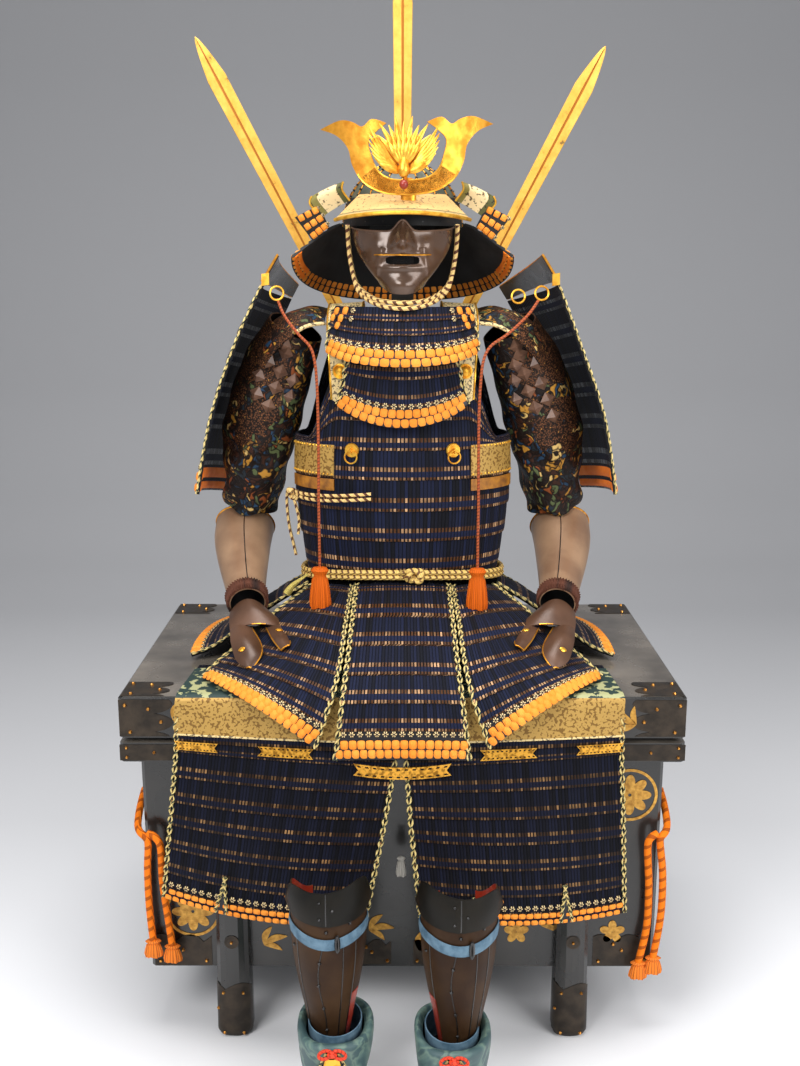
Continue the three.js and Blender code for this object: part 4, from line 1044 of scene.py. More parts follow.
# A lighter copy of the russet lacquer for the forearm guards: a painted highlight spread over them.
forearm_russet_painted_highlight = finish("russet lacquer on iron, polished",
                        plain("#8e6c52", "#b08c6c", 14, (0.36, 0.48), 0.2, 260),
                        Metallic=0.15, Coat_Weight=0.15, Coat_Roughness=0.35)
hand_russet = finish("russet lacquer on iron, brown",
                     plain("#4a3121", "#654633", 14, (0.34, 0.46), 0.2, 260),
                     Metallic=0.2, Coat_Weight=0.1, Coat_Roughness=0.3)
knee_bronze = finish("black lacquer worn to bronze", plain("#0b0a07", "#1a160f", 18, (0.4, 0.55), 0.2, 200),
                     Specular_IOR_Level=0.2)
black_lacquer = finish("black lacquer on iron", plain("#0d0c0b", "#1a1614", 25, (0.22, 0.36)),
                       Coat_Weight=0.4, Coat_Roughness=0.15)
# Dull black for linings and inner faces; the same finish paints shade on the sheets under the hand guards
# and under the visor.
dark_lining_and_painted_shade = finish("black lacquer, dull, and painted shade", plain("#060607", "#0c0b0c", 25, (0.5, 0.7)))
red_lacquer = finish("red lacquer", plain("#8c2414", "#a8361c", 30, (0.25, 0.45)), Coat_Weight=0.3)


def printed_leather(ground, print_hex, border=None, fine=3.0, rarity=1.02):
    """Leather stencilled with small sprigs: the rim of smooth Voronoi cells drawn dark, and
    near the piece's foot a coloured border line by v."""
    def draw(t):
        where = node(t, "TexCoord", out="Object")
        cells = node(t, "TexVoronoi", where, Scale=80.0 * fine, feature="SMOOTH_F1", out="Distance")
        cloud = node(t, "TexNoise", where, Scale=100.0 * fine, Detail=4.0)
        sprig = node(t, "Math", node(t, "Math", cells, cloud, operation="ADD"), rarity,
                     operation="GREATER_THAN")
        colour = node(t, "Mix", sprig, ground, print_hex, data_type="RGBA")
        if border:
            v = node(t, "SeparateXYZ", node(t, "TexCoord", out="UV")).node.outputs[1]
            line = node(t, "ValToRGB", v, stops=[[0, "#000000"], [0.80, "#000000"], [0.82, "#ffffff"],
                                                 [0.90, "#000000"]])
            colour = node(t, "Mix", line, colour, border, data_type="RGBA")
        relief = node(t, "Bump", Strength=0.2, Distance=0.0004, Height=cloud)
        return {"Base Color": colour, "Normal": relief}
    return draw


cream_leather = finish("stencilled deerskin, cream",
                       printed_leather("#d6ae6c", "#7c5c32", "#4f5a3c", rarity=1.16), Roughness=0.62)
plain_cream = finish("stencilled deerskin, no border", printed_leather("#e2c78c", "#6f6248"),
                     Roughness=0.62)
gold_leather = finish("gilt stencilled leather", printed_leather("#b8924a", "#7d5a22"), Roughness=0.5,
                      Metallic=0.3)
amber_leather = finish("amber leather", plain("#b5761f", "#7a4a14", 60, (0.4, 0.55), 0.2, 300))
green_leather = finish("green stencilled leather", printed_leather("#1d3430", "#a8a878", fine=0.8),
                       Roughness=0.6)
print("finishes so far:", len(bpy.data.materials))

# %% [markdown]
# ## Sleeves
#
# A sleeve is brocade with mail sewn on it: fine links over most of the arm, small pyramids
# of leather on the shoulder and bare brocade towards the body and the elbow.

# %% Sleeve cloth
def brocade(t):
    """Brocade from a bent noise through colour stops, and mail as small cells. Brocade shows
    where |x| + 0.3 z is small, which is beside the body, and low down at the elbow."""
    where = node(t, "TexCoord", out="Object")
    place = node(t, "SeparateXYZ", where)
    bend = node(t, "TexNoise", where, Scale=26.0, Detail=2.0, out="Color")
    bent = node(t, "VectorMath", bend, (0.09, 0.09, 0.05), where, operation="MULTIPLY_ADD")
    bent = node(t, "VectorMath", bent, (1.0, 1.0, 0.6), operation="MULTIPLY")
    leaf = node(t, "TexVoronoi", bent, Scale=92.0, out="Color")
    rim = node(t, "TexVoronoi", bent, Scale=92.0, feature="DISTANCE_TO_EDGE", out="Distance")
    silk = node(t, "ValToRGB", node(t, "SeparateColor", leaf), stops=[
        [0.0, "#1d120d"], [0.25, "#3a2014"], [0.42, "#b98432"], [0.53, "#24405a"], [0.63, "#58633f"],
        [0.74, "#8c4a24"], [0.82, "#222c34"], [0.93, "#d8b46c"]])
    silk.node.color_ramp.interpolation = "CONSTANT"
    line = node(t, "MapRange", rim, 0.03, 0.20, 0.0, 1.0)
    silk = node(t, "Mix", line, "#150d0a", silk, data_type="RGBA")
    links = node(t, "TexVoronoi", where, Scale=300.0, out="Distance")
    link_tone = node(t, "ValToRGB", links, stops=[[0.15, "#75492c"], [0.6, "#1a0f09"]])
    stud = node(t, "Math", node(t, "TexVoronoi", where, Scale=110.0, out="Distance"), 0.13,
                operation="LESS_THAN")
    mail = node(t, "Mix", stud, link_tone, "#b5813c", data_type="RGBA")
    drift = node(t, "TexNoise", where, Scale=14.0, Detail=2.0)
    inward = node(t, "Math", node(t, "Math", place, operation="ABSOLUTE"),
                  node(t, "Math", place.node.outputs[2], 0.3, operation="MULTIPLY"), operation="ADD")
    inward = node(t, "Math", drift, 0.05, inward, operation="MULTIPLY_ADD")
    beside = node(t, "MapRange", inward, 0.580, 0.592, 0.0, 1.0)
    height = node(t, "Math", drift, 0.16, place.node.outputs[2], operation="MULTIPLY_ADD")
    above = node(t, "MapRange", height, 1.09, 1.12, 0.0, 1.0)
    share = node(t, "Math", beside, above, operation="MULTIPLY")
    spots = node(t, "Math", node(t, "TexNoise", where, Scale=24.0), 0.56, operation="LESS_THAN")
    share = node(t, "Math", share, spots, operation="MULTIPLY")
    colour = node(t, "Mix", share, silk, mail, data_type="RGBA")
    relief = node(t, "Bump", Strength=0.6, Distance=0.001, Height=node(
        t, "Mix", share, line, links))
    return {"Base Color": colour, "Normal": relief}


sleeve_cloth = finish("brocade with mail", brocade, Roughness=0.6, Specular_IOR_Level=0.25)
print("finishes so far:", len(bpy.data.materials))

# %% [markdown]
# ### Sleeves, forearm and hand guards
#
# The sleeve and the iron forearm guard are tubes through a few rings; the hand guard is three
# curved plates. The left side is drawn and the right one mirrored.

# %% Sleeves, forearm and hand guards
SLEEVE = [[-196, 8, 1252, 52, 66], [-226, 20, 1190, 64, 72], [-256, 36, 1112, 70, 76],
          [-273, 50, 1045, 69, 74], [-287, 68, 968, 58, 64], [-298, 84, 912, 52, 56]]
FOREARM = [[-309, 86, 866, 57, 54], [-310, 52, 842, 55, 54], [-304, 4, 812, 48, 47],
           [-293, -60, 780, 38, 38], [-283, -112, 760, 33, 33]]
HAND = hung(out=[0, -0.35, 0.94], rungs=[
    [-315, -118, 745, -242, -118, 745, 30], [-313, -145, 736, -223, -145, 740, 24],
    [-308, -172, 727, -213, -172, 731, 12]])
OUTER_LOBE = hung(out=[0, -0.35, 0.94], rungs=[
    [-308, -170, 728, -269, -170, 731, 9], [-301, -214, 718, -248, -214, 715, 13],
    [-287, -250, 696, -244, -246, 705, 9], [-267, -268, 689, -257, -268, 688, 2]])
THUMB_LOBE = hung(out=[0, -0.35, 0.94], rungs=[
    [-243, -172, 731, -211, -172, 734, 4], [-227, -214, 722, -197, -214, 721, 6],
    [-210, -242, 712, -196, -238, 720, 2]])
PALM = hung(out=[0, -0.35, 0.94], rungs=[
    [-276, -150, 728, -232, -150, 728, 0], [-274, -190, 694, -222, -190, 696, 0]])


def creases(u, v):
    """Slack cloth: waves down the sleeve that lean round it, deeper towards the elbow."""
    return (0.6 + 2.6 * v) * (np.sin(34 * v + 5 * np.sin(2 * np.pi * u)) * 0.8
                              + np.sin(2 * np.pi * (5 * u + 2.3 * v)) * 0.9)


for side, built in (("left", as_built), ("right", mirrored)):
    arm = tube(SLEEVE)
    cloth = shell(f"sleeve_{side}_cloth", built(relieved(arm, creases)), [f"sleeve_{side}"],
                  [sleeve_cloth, dark_lining_and_painted_shade], cols=72, rows=60, thickness=2.5, wrap=True)
    forearm = tube(FOREARM)
    # the forearm iron is lightened all over: painted highlight
    shell(f"forearm_{side}_iron", built(forearm), [f"forearm_guard_{side}"],
          [forearm_russet_painted_highlight, dark_lining_and_painted_shade], cols=48, rows=30, wrap=True)
    lobes = [plate(built(one), 16, 16, 0.0, 2.0) for one in (HAND, OUTER_LOBE, THUMB_LOBE)]
    joined(f"hand_{side}_iron", lobes, [hand_russet], instead_of=[f"hand_guard_{side}"])
    # a dark sheet under the arch of the hand guard: a black palm and painted shade
    shell(f"hand_{side}_dark_palm_and_shade", built(PALM), [], [dark_lining_and_painted_shade], 8, 8, 1.0)

# %% [markdown]
# ## Shoulder guards
#
# Each is a laced board of seven lames that hangs beside the arm from a black plate.

# %% Shoulder guards
SODE_LEFT = hung(out=[-1, 0, 0.2], rungs=[
    [-218, 160, 1300, -241, -105, 1330, 24], [-268, 170, 1196, -290, -105, 1230, 26],
    [-320, 180, 1062, -338, -105, 1098, 24], [-368, 190, 915, -367, -105, 961, 20]])
SODE_RIGHT = hung(out=[1, 0, 0.2], rungs=[
    [268, -105, 1330, 206, 160, 1296, 24], [308, -105, 1230, 262, 170, 1194, 26],
    [356, -105, 1098, 322, 180, 1064, 24], [381, -105, 961, 366, 190, 922, 20]])
SODE_PLATE_LEFT = hung(out=[-0.9, 0, 0.5], rungs=[
    [-204, 160, 1328, -215, -108, 1380, 14], [-217, 160, 1304, -242, -108, 1336, 22]])
SODE_PLATE_RIGHT = hung(out=[0.9, 0, 0.5], rungs=[
    [241, -108, 1380, 190, 160, 1324, 14], [269, -108, 1336, 205, 160, 1300, 22]])
SODE_FEET = np.linspace(0, 1, 8)


flat_silk = finish("flat silk braid, bright orange", plain("#ff8a2a", "#f67a1c", 60, (0.5, 0.6), 0.2, 500),
                   Specular_IOR_Level=0.1)


def shell_bar(board, low, high):
    """A flat silk bar on the inside of a board: the board seen from within, lifted 2.4 mm."""
    inside = part_of(lambda u, v: board(1 - u, v), 0.02, 0.98, low, high)
    return wall(inside, 24, np.linspace(0, 1, 5), column([2.4, 4.0, 4.6, 4.0, 2.4]), -2.1)[:3]


for side, board, cap in (("left", SODE_LEFT, SODE_PLATE_LEFT), ("right", SODE_RIGHT, SODE_PLATE_RIGHT)):
    silk = laced(f"sode_{side}_laced", board, SODE_FEET, f"sode_{side}", cols=30)
    trim = trimmed(f"sode_{side}_trim", board, SODE_FEET, 0.865, (0.905, 0.965), height=17.0)
    declare_sheet(silk, board)
    shell(f"sode_{side}_cap", cap, [f"sode_plate_{side}"], [black_lacquer, black_lacquer], 24, 4, 3.0)
    bars = [shell_bar(board, low, high) for low, high in ((0.872, 0.918), (0.938, 0.984))]
    joined(f"sode_{side}_inner_hem", bars, [flat_silk])
    rims = [swept(edge_line(cap, edge, 0.5), 2.0, 6, aside=(1, 0, 0.3)) for edge in ("head", "foot")]
    rims += [swept(edge_line(cap, edge, 0.5, 12), 2.2, 6, aside=(0, 1, 0)) for edge in ("left", "right")]
    joined(f"sode_{side}_rim", rims, [gilt])

# %% [markdown]
# ## Helmet
#
# The bowl is riveted from narrow plates whose turned edges make ribs. A visor of printed
# leather stands out in front and a laced guard flares round the neck. Bowl, visor and guard
# are three simple surfaces of turning, so ribs and studs can be laid on them by angle.

# %% Helmet surfaces
BOWL = {"y": 20, "foot": 1430, "half_x": 108, "half_y": 120, "height": 115}


def bowl_face(u, v):
    """A half ellipsoid: u turns once round from behind, v goes from the crown to the foot."""
    turn, rise = -2 * np.pi * u, (1 - v * 0.985 - 0.015) * np.pi / 2
    return stack(BOWL["half_x"] * np.cos(rise) * np.sin(turn),
                 BOWL["y"] + BOWL["half_y"] * np.cos(rise) * np.cos(turn),
                 BOWL["foot"] + BOWL["height"] * np.sin(rise))


RIBS = 20


def ribs(u, v):
    """Narrow ribs stand 1.4 above the plates: |cos|^10 of half the rib count times the turn."""
    return 1.4 * np.abs(np.cos(RIBS * np.pi * u)) ** 10 * smooth(v, 0.05, 0.2) - 1.6


olive_lacquer = finish("olive lacquer on iron", plain("#3a3f34", "#565c4c", 25, (0.35, 0.5)))
shell("bowl_plates", relieved(bowl_face, ribs), ["helmet_bowl"], [olive_lacquer, dark_lining_and_painted_shade], cols=200,
      rows=24, wrap=True)
rib_v = np.linspace(0.06, 0.99, 40)
rib_lines = [swept(lifted(bowl_face, 0.4)(np.full(40, number / RIBS + 1e-4), rib_v), 1.1, 6,
                   (0.3, 0.2, 0.1)) for number in range(RIBS)]
joined("bowl_ribs", rib_lines, [gilt])
rib_u, stud_v = np.meshgrid(np.arange(RIBS) / RIBS, np.linspace(0.16, 0.96, 13))
studs = pillows(bowl_face, (rib_u % 0.999) + 5e-4, stud_v, 4.6, 4.6, 3.0, lift=0.3, square=0.9)
joined("bowl_studs", [studs], [black_lacquer])
# a dark sheet on the bowl under the visor: painted shade
brow = part_of(lifted(bowl_face, 2.6), 0.30, 0.70, 0.72, 1.0)
shell("brow_painted_shade", brow, [], [dark_lining_and_painted_shade], 40, 6, 1.0)

# %% [markdown]
# ### Visor
#
# Stencilled leather over iron, with a gilt rim. It is a cone segment that droops at its ends.

# %% Visor
VISOR = {"spread": 52, "in": (97, 109, 1484), "out": (148, 192, 1449), "droop": 9}


def visor_face(u, v):
    """A ring segment from the bowl out and down, drooping at its ends by 1 - cos(turn)."""
    turn = np.radians(mix(-VISOR["spread"], VISOR["spread"], u))
    (in_x, in_y, in_z), (out_x, out_y, out_z) = VISOR["in"], VISOR["out"]
    z = mix(in_z, out_z, v) - VISOR["droop"] * v * (1 - np.cos(turn)) * 2.6
    return stack(mix(in_x, out_x, v) * np.sin(turn), BOWL["y"] - mix(in_y, out_y, v) * np.cos(turn), z)


shell("visor_leather", visor_face, ["visor"], [cream_leather, dark_lining_and_painted_shade], 64, 16)
joined("visor_rim", [swept(edge_line(visor_face, "foot", -1.0, 80), 3.4, 8, aside=(0, 0, 1))], [bright_gilt])

# %% [markdown]
# ### Neck guard
#
# Five laced lames flare out round the neck, with a hem of knots inside and outside.

# %% Neck guard
GUARD = {"spread": 98, "top": (113, 125, 1437), "rim": (200, 182, 1297), "tip_rise": 82}


def guard_face(u, v):
    """A flaring skirt round the back: the radii grow with v^0.85 and the rim rises towards
    both tips with the turn to the power 2.3."""
    swing = mix(GUARD["spread"], -GUARD["spread"], u)
    turn = np.radians(swing)
    (top_x, top_y, top_z), (rim_x, rim_y, rim_z) = GUARD["top"], GUARD["rim"]
    rim = rim_z + GUARD["tip_rise"] * np.abs(swing / GUARD["spread"]) ** 2.3
    flare = v ** 0.85
    return stack(mix(top_x, rim_x, flare) * np.sin(turn),
                 BOWL["y"] + mix(top_y, rim_y, flare) * np.cos(turn), mix(top_z, rim, v))


GUARD_FEET = np.linspace(0, 1, 6)
laced("neck_guard_laced", guard_face, GUARD_FEET, "neck_guard", cols=72,
      finishes=[navy_lacing, dark_lining_and_painted_shade, hem_ground])


def guard_inside(u, v):
    """The guard seen from within: u runs the other way, so normals point in."""
    return guard_face(1 - u, v)


inner_rows = [pillows(guard_inside, (np.arange(46) + 0.5) / 46, v_row, 10.4, 12.0, 2.2, lift=2.2,
                      square=0.25) for v_row in (0.86, 0.955)]
outer_rows = [pillows(guard_face, (np.arange(46) + 0.5) / 46, v_row, 10.4, 12.0, 2.6, lift=3.0)
              for v_row in (0.86, 0.955)]
BAR_LIFT = [3.4, 4.6, 5.0, 4.6, 3.4]
bars = [wall(part_of(guard_inside, *span, low, high), 12, np.linspace(0, 1, 5), BAR_LIFT, -3.1)[:3]
        for span in ((0.0, 0.13), (0.87, 1.0)) for low, high in ((0.80, 0.885), (0.905, 0.985))]
joined("neck_guard_bars", bars, [flat_silk])
rim_cord = swept(edge_line(guard_face, "foot", 0.5, 120), 2.4, 6, aside=(0, 0, 1))
joined("neck_guard_hem", [*inner_rows, *outer_rows, rim_cord], [orange_silk, dark_lining_and_painted_shade], [0, 0, 0, 0, 1])

# %% [markdown]
# ## Half-mask
#
# A plain, calm half-face: a narrowing half cylinder of iron with rounded bells for the nose,
# the cheeks, the lips and the chin, and a slot for the mouth. The real one is hammered from
# one plate and lacquered russet, with a gilt upper lip.

# %% Half-mask
MASK = {"y": -35, "spread": 80, "mouth_half": 29, "mouth": (1364, 1378)}
MASK_FORM = [[91, 88], [90, 91], [87, 94], [80, 97], [67, 100], [50, 100]]


def hill(x, width):
    """A bell: e to the power -(x / width)^2."""
    return np.exp(-(x / width) ** 2)


def mask_face(u, v):
    """Rings of a narrowing half cylinder, plus bells for the nose, the wings of the nose,
    the cheeks, the lips and the chin."""
    swing = mix(-MASK["spread"], MASK["spread"], u)
    turn = np.radians(swing)
    form = through(MASK_FORM, v)
    x = form[..., 0] * np.sin(turn)
    edge = np.abs(swing / MASK["spread"])
    head = 1419 + 19 * hill(x, 13) + 9 * edge ** 2
    z = mix(head, 1314 + 46 * edge ** 2.4, v)
    nose = 27 * hill(x, 13) * hill(z - 1400, 15) + 12 * hill(x, 9) * smooth(z, 1396, 1420)
    wings = 6 * hill(np.abs(x) - 16, 7) * hill(z - 1393, 9)
    cheeks = 5 * hill(np.abs(x) - 45, 16) * hill(z - 1396, 14)
    lips = 4.5 * hill(np.abs(x), 34) * (hill(z - 1383, 4.5) + hill(z - 1359, 5))
    chin = 6 * hill(x, 24) * hill(z - 1330, 12)
    folds = 3.0 * hill(np.abs(x) - 38 - (1380 - z) * 0.25, 5) * smooth(z, 1330, 1350) * (z < 1392)
    out = nose + wings + cheeks + lips + chin + folds
    return stack(x, MASK["y"] - form[..., 1] * np.cos(turn) - out, z)


def with_hole(made, low, high):
    """Cut a rounded slot between two corner points through a piece, with a Boolean that is
    applied at once; the cutter is removed."""
    spin = np.linspace(0, 2 * np.pi, 32, endpoint=False)
    middle = (column(low) + column(high)) / 2
    half = (column(high) - column(low)) / 2
    outline = np.stack([middle[0] + half[0] * np.sign(np.cos(spin)) * np.abs(np.cos(spin)) ** 0.5,
                        np.zeros(32), middle[2] + half[2] * np.sign(np.sin(spin))
                        * np.abs(np.sin(spin)) ** 0.5], -1)
    front, back = outline + [0, low[1], 0], outline + [0, high[1], 0]
    mesh = bpy.data.meshes.new("cutter")
    ring = np.arange(32)
    side = np.stack([ring, ring + 32, (ring + 1) % 32 + 32, (ring + 1) % 32], -1).tolist()
    mesh.from_pydata(to_frame(np.concatenate([front, back])).tolist(), [],
                     side + [ring.tolist(), (ring + 32)[::-1].tolist()])
    cutter = bpy.data.objects.new("cutter", mesh)
    bpy.context.collection.objects.link(cutter)
    before = len(made.data.vertices)
    cut = made.modifiers.new("mouth", "BOOLEAN")
    cut.operation = "DIFFERENCE"
    cut.solver = "EXACT"
    cut.object = cutter
    bpy.context.view_layer.update()
    ready = bpy.data.meshes.new_from_object(made.evaluated_get(bpy.context.evaluated_depsgraph_get()))
    made.modifiers.clear()
    made.data = ready
    print("mouth cut:", before, "to", len(ready.vertices), "points")
    bpy.data.objects.remove(cutter)
    return made


mask = shell("mask_iron", mask_face, ["mask"], [mask_russet, red_lacquer], cols=110, rows=80, thickness=2.0)
with_hole(mask, (-MASK["mouth_half"], -190, MASK["mouth"][0]), (MASK["mouth_half"], -90, MASK["mouth"][1]))
lip_u = np.linspace(0.29, 0.71, 40)


def at_height(face, u, z_wanted):
    """v where the face has a height: read off a table of heights, as they fall evenly."""
    v = np.linspace(0, 1, 200)
    found = [np.interp(-z_wanted, -face(np.full_like(v, one), v)[:, 2], v) for one in u]
    return np.array(found)


lip_v = at_height(mask_face, lip_u, 1380.5)
lip_line = mask_face(lip_u, lip_v) + normals(mask_face, lip_u, lip_v) * 0.6
brow_line = edge_line(mask_face, "head", 0.6, 120)
rims = [swept(lip_line, 1.3, 6, aside=(0, 0, 1)), swept(brow_line, 1.6, 6, aside=(0, 1, 0.2))]
joined("mask_rims", rims, [gilt, russet], [0, 1])

# %% [markdown]
# ## Throat guard and gorget
#
# Two laced aprons hang round the throat, the upper one from the mask. Cones with an even change
# of radius are close enough, since lacing hides the surface.

# %% Throat guard and gorget
def bib(top, foot, rise, spread_top, spread_foot, y):
    """A laced apron round the throat: radii, height and spread change evenly from the top
    to the foot, and the foot rises to the sides with the square of the turn."""
    def face(u, v):
        spread = mix(spread_top, spread_foot, v)
        swing = mix(-1, 1, u) * spread
        turn = np.radians(swing)
        low = foot[2] + rise * (swing / spread_foot) ** 2
        return stack(mix(top[0], foot[0], v) * np.sin(turn),
                     y - mix(top[1], foot[1], v) * np.cos(turn), mix(top[2], low, v))
    return face


THROAT = bib((124, 100, 1293), (148, 140, 1194), 22, 76, 64, -36)
GORGET = bib((190, 131, 1216), (192, 136, 1084), 40, 30, 37, TRUNK_Y)
laced("throat_guard_laced", THROAT, [0, 0.24, 0.48, 0.72, 1], "throat_guard", cols=60)
laced("gorget_laced", GORGET, [0, 0.36, 0.72, 1], "gorget", cols=50)
trimmed("throat_guard_trim", THROAT, [0, 1], 0.70, (0.80, 0.945), width=17.5, height=14.5)
trimmed("gorget_trim", GORGET, [0, 1], 0.715, (0.815, 0.94), width=14.8, height=15.0)
side_u, side_v = column([0.075, 0.16, 0.04, 0.125]), [0.12, 0.09, 0.27, 0.25]
clusters = [pillows(THROAT, one, side_v, 13, 14, 3) for one in (side_u, 1 - side_u)]
clusters.append(pillows(THROAT, [0.10, 0.90], 0.41, 13, 13, 3))
knots = pillows(THROAT, [0.22, 0.21, 0.78, 0.79], [0.08, 0.24, 0.08, 0.24], 10, 10, 2, square=0.85)
joined("throat_guard_clusters", [*clusters, knots], [orange_silk, flower_knot], [0, 0, 0, 1])

# %% [markdown]
# ## Shoulder straps
#
# Padded leather straps pass over the shoulders with piping at both edges. Each ends on the
# breast under a gilt boss, which is turned like a button: one profile carried round.

# %% Shoulder straps with their bosses
STRAP = hung(out=[-1, 0, 0], rungs=[
    [-128, 136, 1190, -74, 146, 1190, 0], [-130, 122, 1246, -74, 132, 1250, 0],
    [-132, 72, 1286, -72, 74, 1290, 0], [-134, 5, 1292, -72, 5, 1296, 0],
    [-134, -62, 1262, -74, -68, 1266, 0], [-130, -88, 1200, -78, -101, 1200, 0],
    [-126, -91, 1130, -106, -100, 1118, 0]])


def boss(face, u, v, radius, rise, lift=1.0):
    """A round boss on a face: rings whose height follows a step, a groove and a dome."""
    u, v = column([u]), column([v])
    centre, outward = face(u, v)[0], normals(face, u, v)[0]
    along = unit(face(u + 1e-3, v)[0] - face(u - 1e-3, v)[0])
    down = np.cross(outward, along)
    profile = column([[1, 0], [1, 0.35], [0.8, 0.5], [0.74, 0.3], [0.62, 0.45], [0.4, 0.85], [0.05, 1]])
    spin = 2 * np.pi * np.arange(24) / 24
    points = (centre + outward * (lift + rise * profile[:, 1])[:, None, None]
              + along * (radius * profile[:, 0])[:, None, None] * np.cos(spin)[None, :, None]
              + down * (radius * profile[:, 0])[:, None, None] * np.sin(spin)[None, :, None])
    faces = grid(len(profile) - 1, 24, wrap=True)
    fan = np.arange(1, 23, 2)
    lid = (len(profile) - 1) * 24
    cap = np.stack([np.zeros_like(fan), fan, fan + 1, np.minimum(fan + 2, 23)], -1)
    cap[-1, 3] = 23
    faces = np.concatenate([faces[:, ::-1], cap[:, ::-1], lid + cap])
    return points.reshape(-1, 3), faces, np.zeros((len(profile) * 24, 2))


for side, built, u_at in (("left", as_built, 0.42), ("right", mirrored, 0.58)):
    strap = built(STRAP)
    shell(f"strap_{side}_leather", strap, [f"shoulder_strap_{side}"], [plain_cream, dark_lining_and_painted_shade],
          10, 60, 3.0)
    parts = [boss(strap, u_at, 0.875, 13.5, 6)]
    parts += [swept(edge_line(strap, edge, 0.3, 90), 1.8, 6, aside=(0.2, 0, 1))
              for edge in ("left", "right")]
    joined(f"strap_{side}_mounts", parts, [bright_gilt])

# %% [markdown]
# ## Shin guards and boots
#
# A shin guard is iron plates on cloth, tied round the calf with a hemp band, with a knee plate
# above. One surface round the calf carries plates, seams, studs and band.

# %% Shin guards
SHIN = {"foot": 128, "spread": 150, "knee": 397, "lobe": 12, "drop": 30}
SHIN_FORM = [[60, 64], [61, 66], [59, 64], [51, 56], [40, 47], [31, 38]]
LEGS = [("left", -118, -478, -109), ("right", 90, -495, 80)]


def shin_face(x, y):
    """Rings round a calf: the head waves up at both sides of the knee and drops behind."""
    def face(u, v):
        turn = np.radians(mix(-SHIN["spread"], SHIN["spread"], u))
        form = through(SHIN_FORM, v)
        head = (SHIN["knee"] + SHIN["lobe"] * np.sin(1.3 * turn) ** 2
                - SHIN["drop"] * smooth(np.abs(turn), math.radians(95), math.radians(SHIN["spread"])))
        return stack(x + form[..., 0] * np.sin(turn), y - form[..., 1] * np.cos(turn),
                     mix(head, SHIN["foot"], v))
    return face


def knee_face(x, y, inner):
    """The knee plate: two lobes stand up beside the knee, the one on the inner side (+1 is
    to the right) higher; the foot is nearly level, and the plate swells away from the leg."""
    def face(u, v):
        turn = np.radians(mix(-102, 102, u))
        edge = np.abs(2 * u - 1)
        head = (421 + 6 * hill(np.abs(turn) - 0.85, 0.35) + 7 * inner * np.sin(turn)
                - 46 * smooth(edge, 0.60, 1.0))
        swell = 4.5 + 4 * np.sin(np.pi * v) + 2.5 * hill(turn, 0.12) - 2 * hill(turn, 0.03)
        return stack(x + (61 + swell) * np.sin(turn), y - (65 + swell) * np.cos(turn),
                     mix(head, 364 + 14 * edge ** 2, v))
    return face


blue_cloth = finish("hemp cloth, indigo light", plain("#436176", "#6a879a", 60, (0.8, 0.9), 0.5, 900))
for side, x, y, boot_x in LEGS:
    face = shin_face(x, y)
    shell(f"shin_{side}_iron", face, [f"shin_guard_{side}"], [shin_russet, red_lacquer], 64, 40)
    knee = knee_face(x, y, 1 if side == "left" else -1)
    shell(f"shin_{side}_knee", knee, [], [knee_bronze, orange_silk], 48, 16, 2.0, lift=0.2)
    over = relieved(face, lambda u, v: 1.6 + 1.2 * np.sin(np.pi * np.clip((v - 0.2) * 14, 0, 1)))
    band = lambda u, v: over(mix(0.06, 0.94, u), mix(0.198, 0.268, v) + 0.012 * (1 - (2 * u - 1) ** 2))
    shell(f"shin_{side}_band", band, [], [blue_cloth], 48, 6, 1.2, lift=0.4)
    seams = []
    for u_seam in (0.33, 0.47, 0.585, 0.66):
        v = np.linspace(0.26, 0.99, 40)
        u = u_seam + (0.018 * np.sin(3 * np.pi * v) if u_seam == 0.47 else 0) + 0 * v
        line = face(u, v) + normals(face, u, v) * 0.2
        seams.append(swept(line, 0.9, 6, aside=(0, 1, 0)))
    joined(f"shin_{side}_seams", seams, [black_lacquer])
    stud_v = column([0.37, 0.53, 0.69, 0.85])
    studs = pillows(face, np.concatenate([0.47 + 0.018 * np.sin(3 * np.pi * stud_v), [0.3, 0.5, 0.62]]),
                    np.concatenate([stud_v, [0.34, 0.165, 0.15]]), 6, 6, 2.6, lift=0.4, square=0.9)
    joined(f"shin_{side}_studs", [studs], [black_lacquer])

# %% [markdown]
# ### Boots
#
# Fur or padded cloth boots close over the shin guard. Rings of a superellipse go from the cuff
# to the sole, as a round foot needs flat sides; a lining of indigo cloth turns out at the top.

# %% Boots
BOOT_FORM = [[0, -38, 44, 108], [8, -38, 50, 116], [36, -36, 51, 112], [64, -26, 49, 96],
             [92, -14, 51, 78], [120, -14, 57, 72], [148, -16, 61, 74], [165, -18, 61, 75],
             [169, -16, 54, 66], [158, -12, 47, 56]]


def swirled(shade, colour, middle):
    """Soft swirls: one noise bends the place another noise is read at."""
    def draw(t):
        where = node(t, "TexCoord", out="Object")
        bend = node(t, "TexNoise", where, Scale=9.0, Detail=2.0, out="Color")
        bent = node(t, "VectorMath", bend, (0.12, 0.12, 0.12), where, operation="MULTIPLY_ADD")
        cloud = node(t, "TexNoise", bent, Scale=34.0, Detail=2.0)
        tone = node(t, "ValToRGB", cloud, stops=[[0.36, shade], [0.46, middle], [0.52, colour],
                                                 [0.6, shade]])
        weave = node(t, "TexNoise", where, Scale=700.0)
        return {"Base Color": tone, "Normal": node(t, "Bump", Strength=0.3, Distance=0.0006, Height=weave)}
    return draw


boot_cloth = finish("padded cloth, sea green", swirled("#40585a", "#6d8478", "#56706c"))


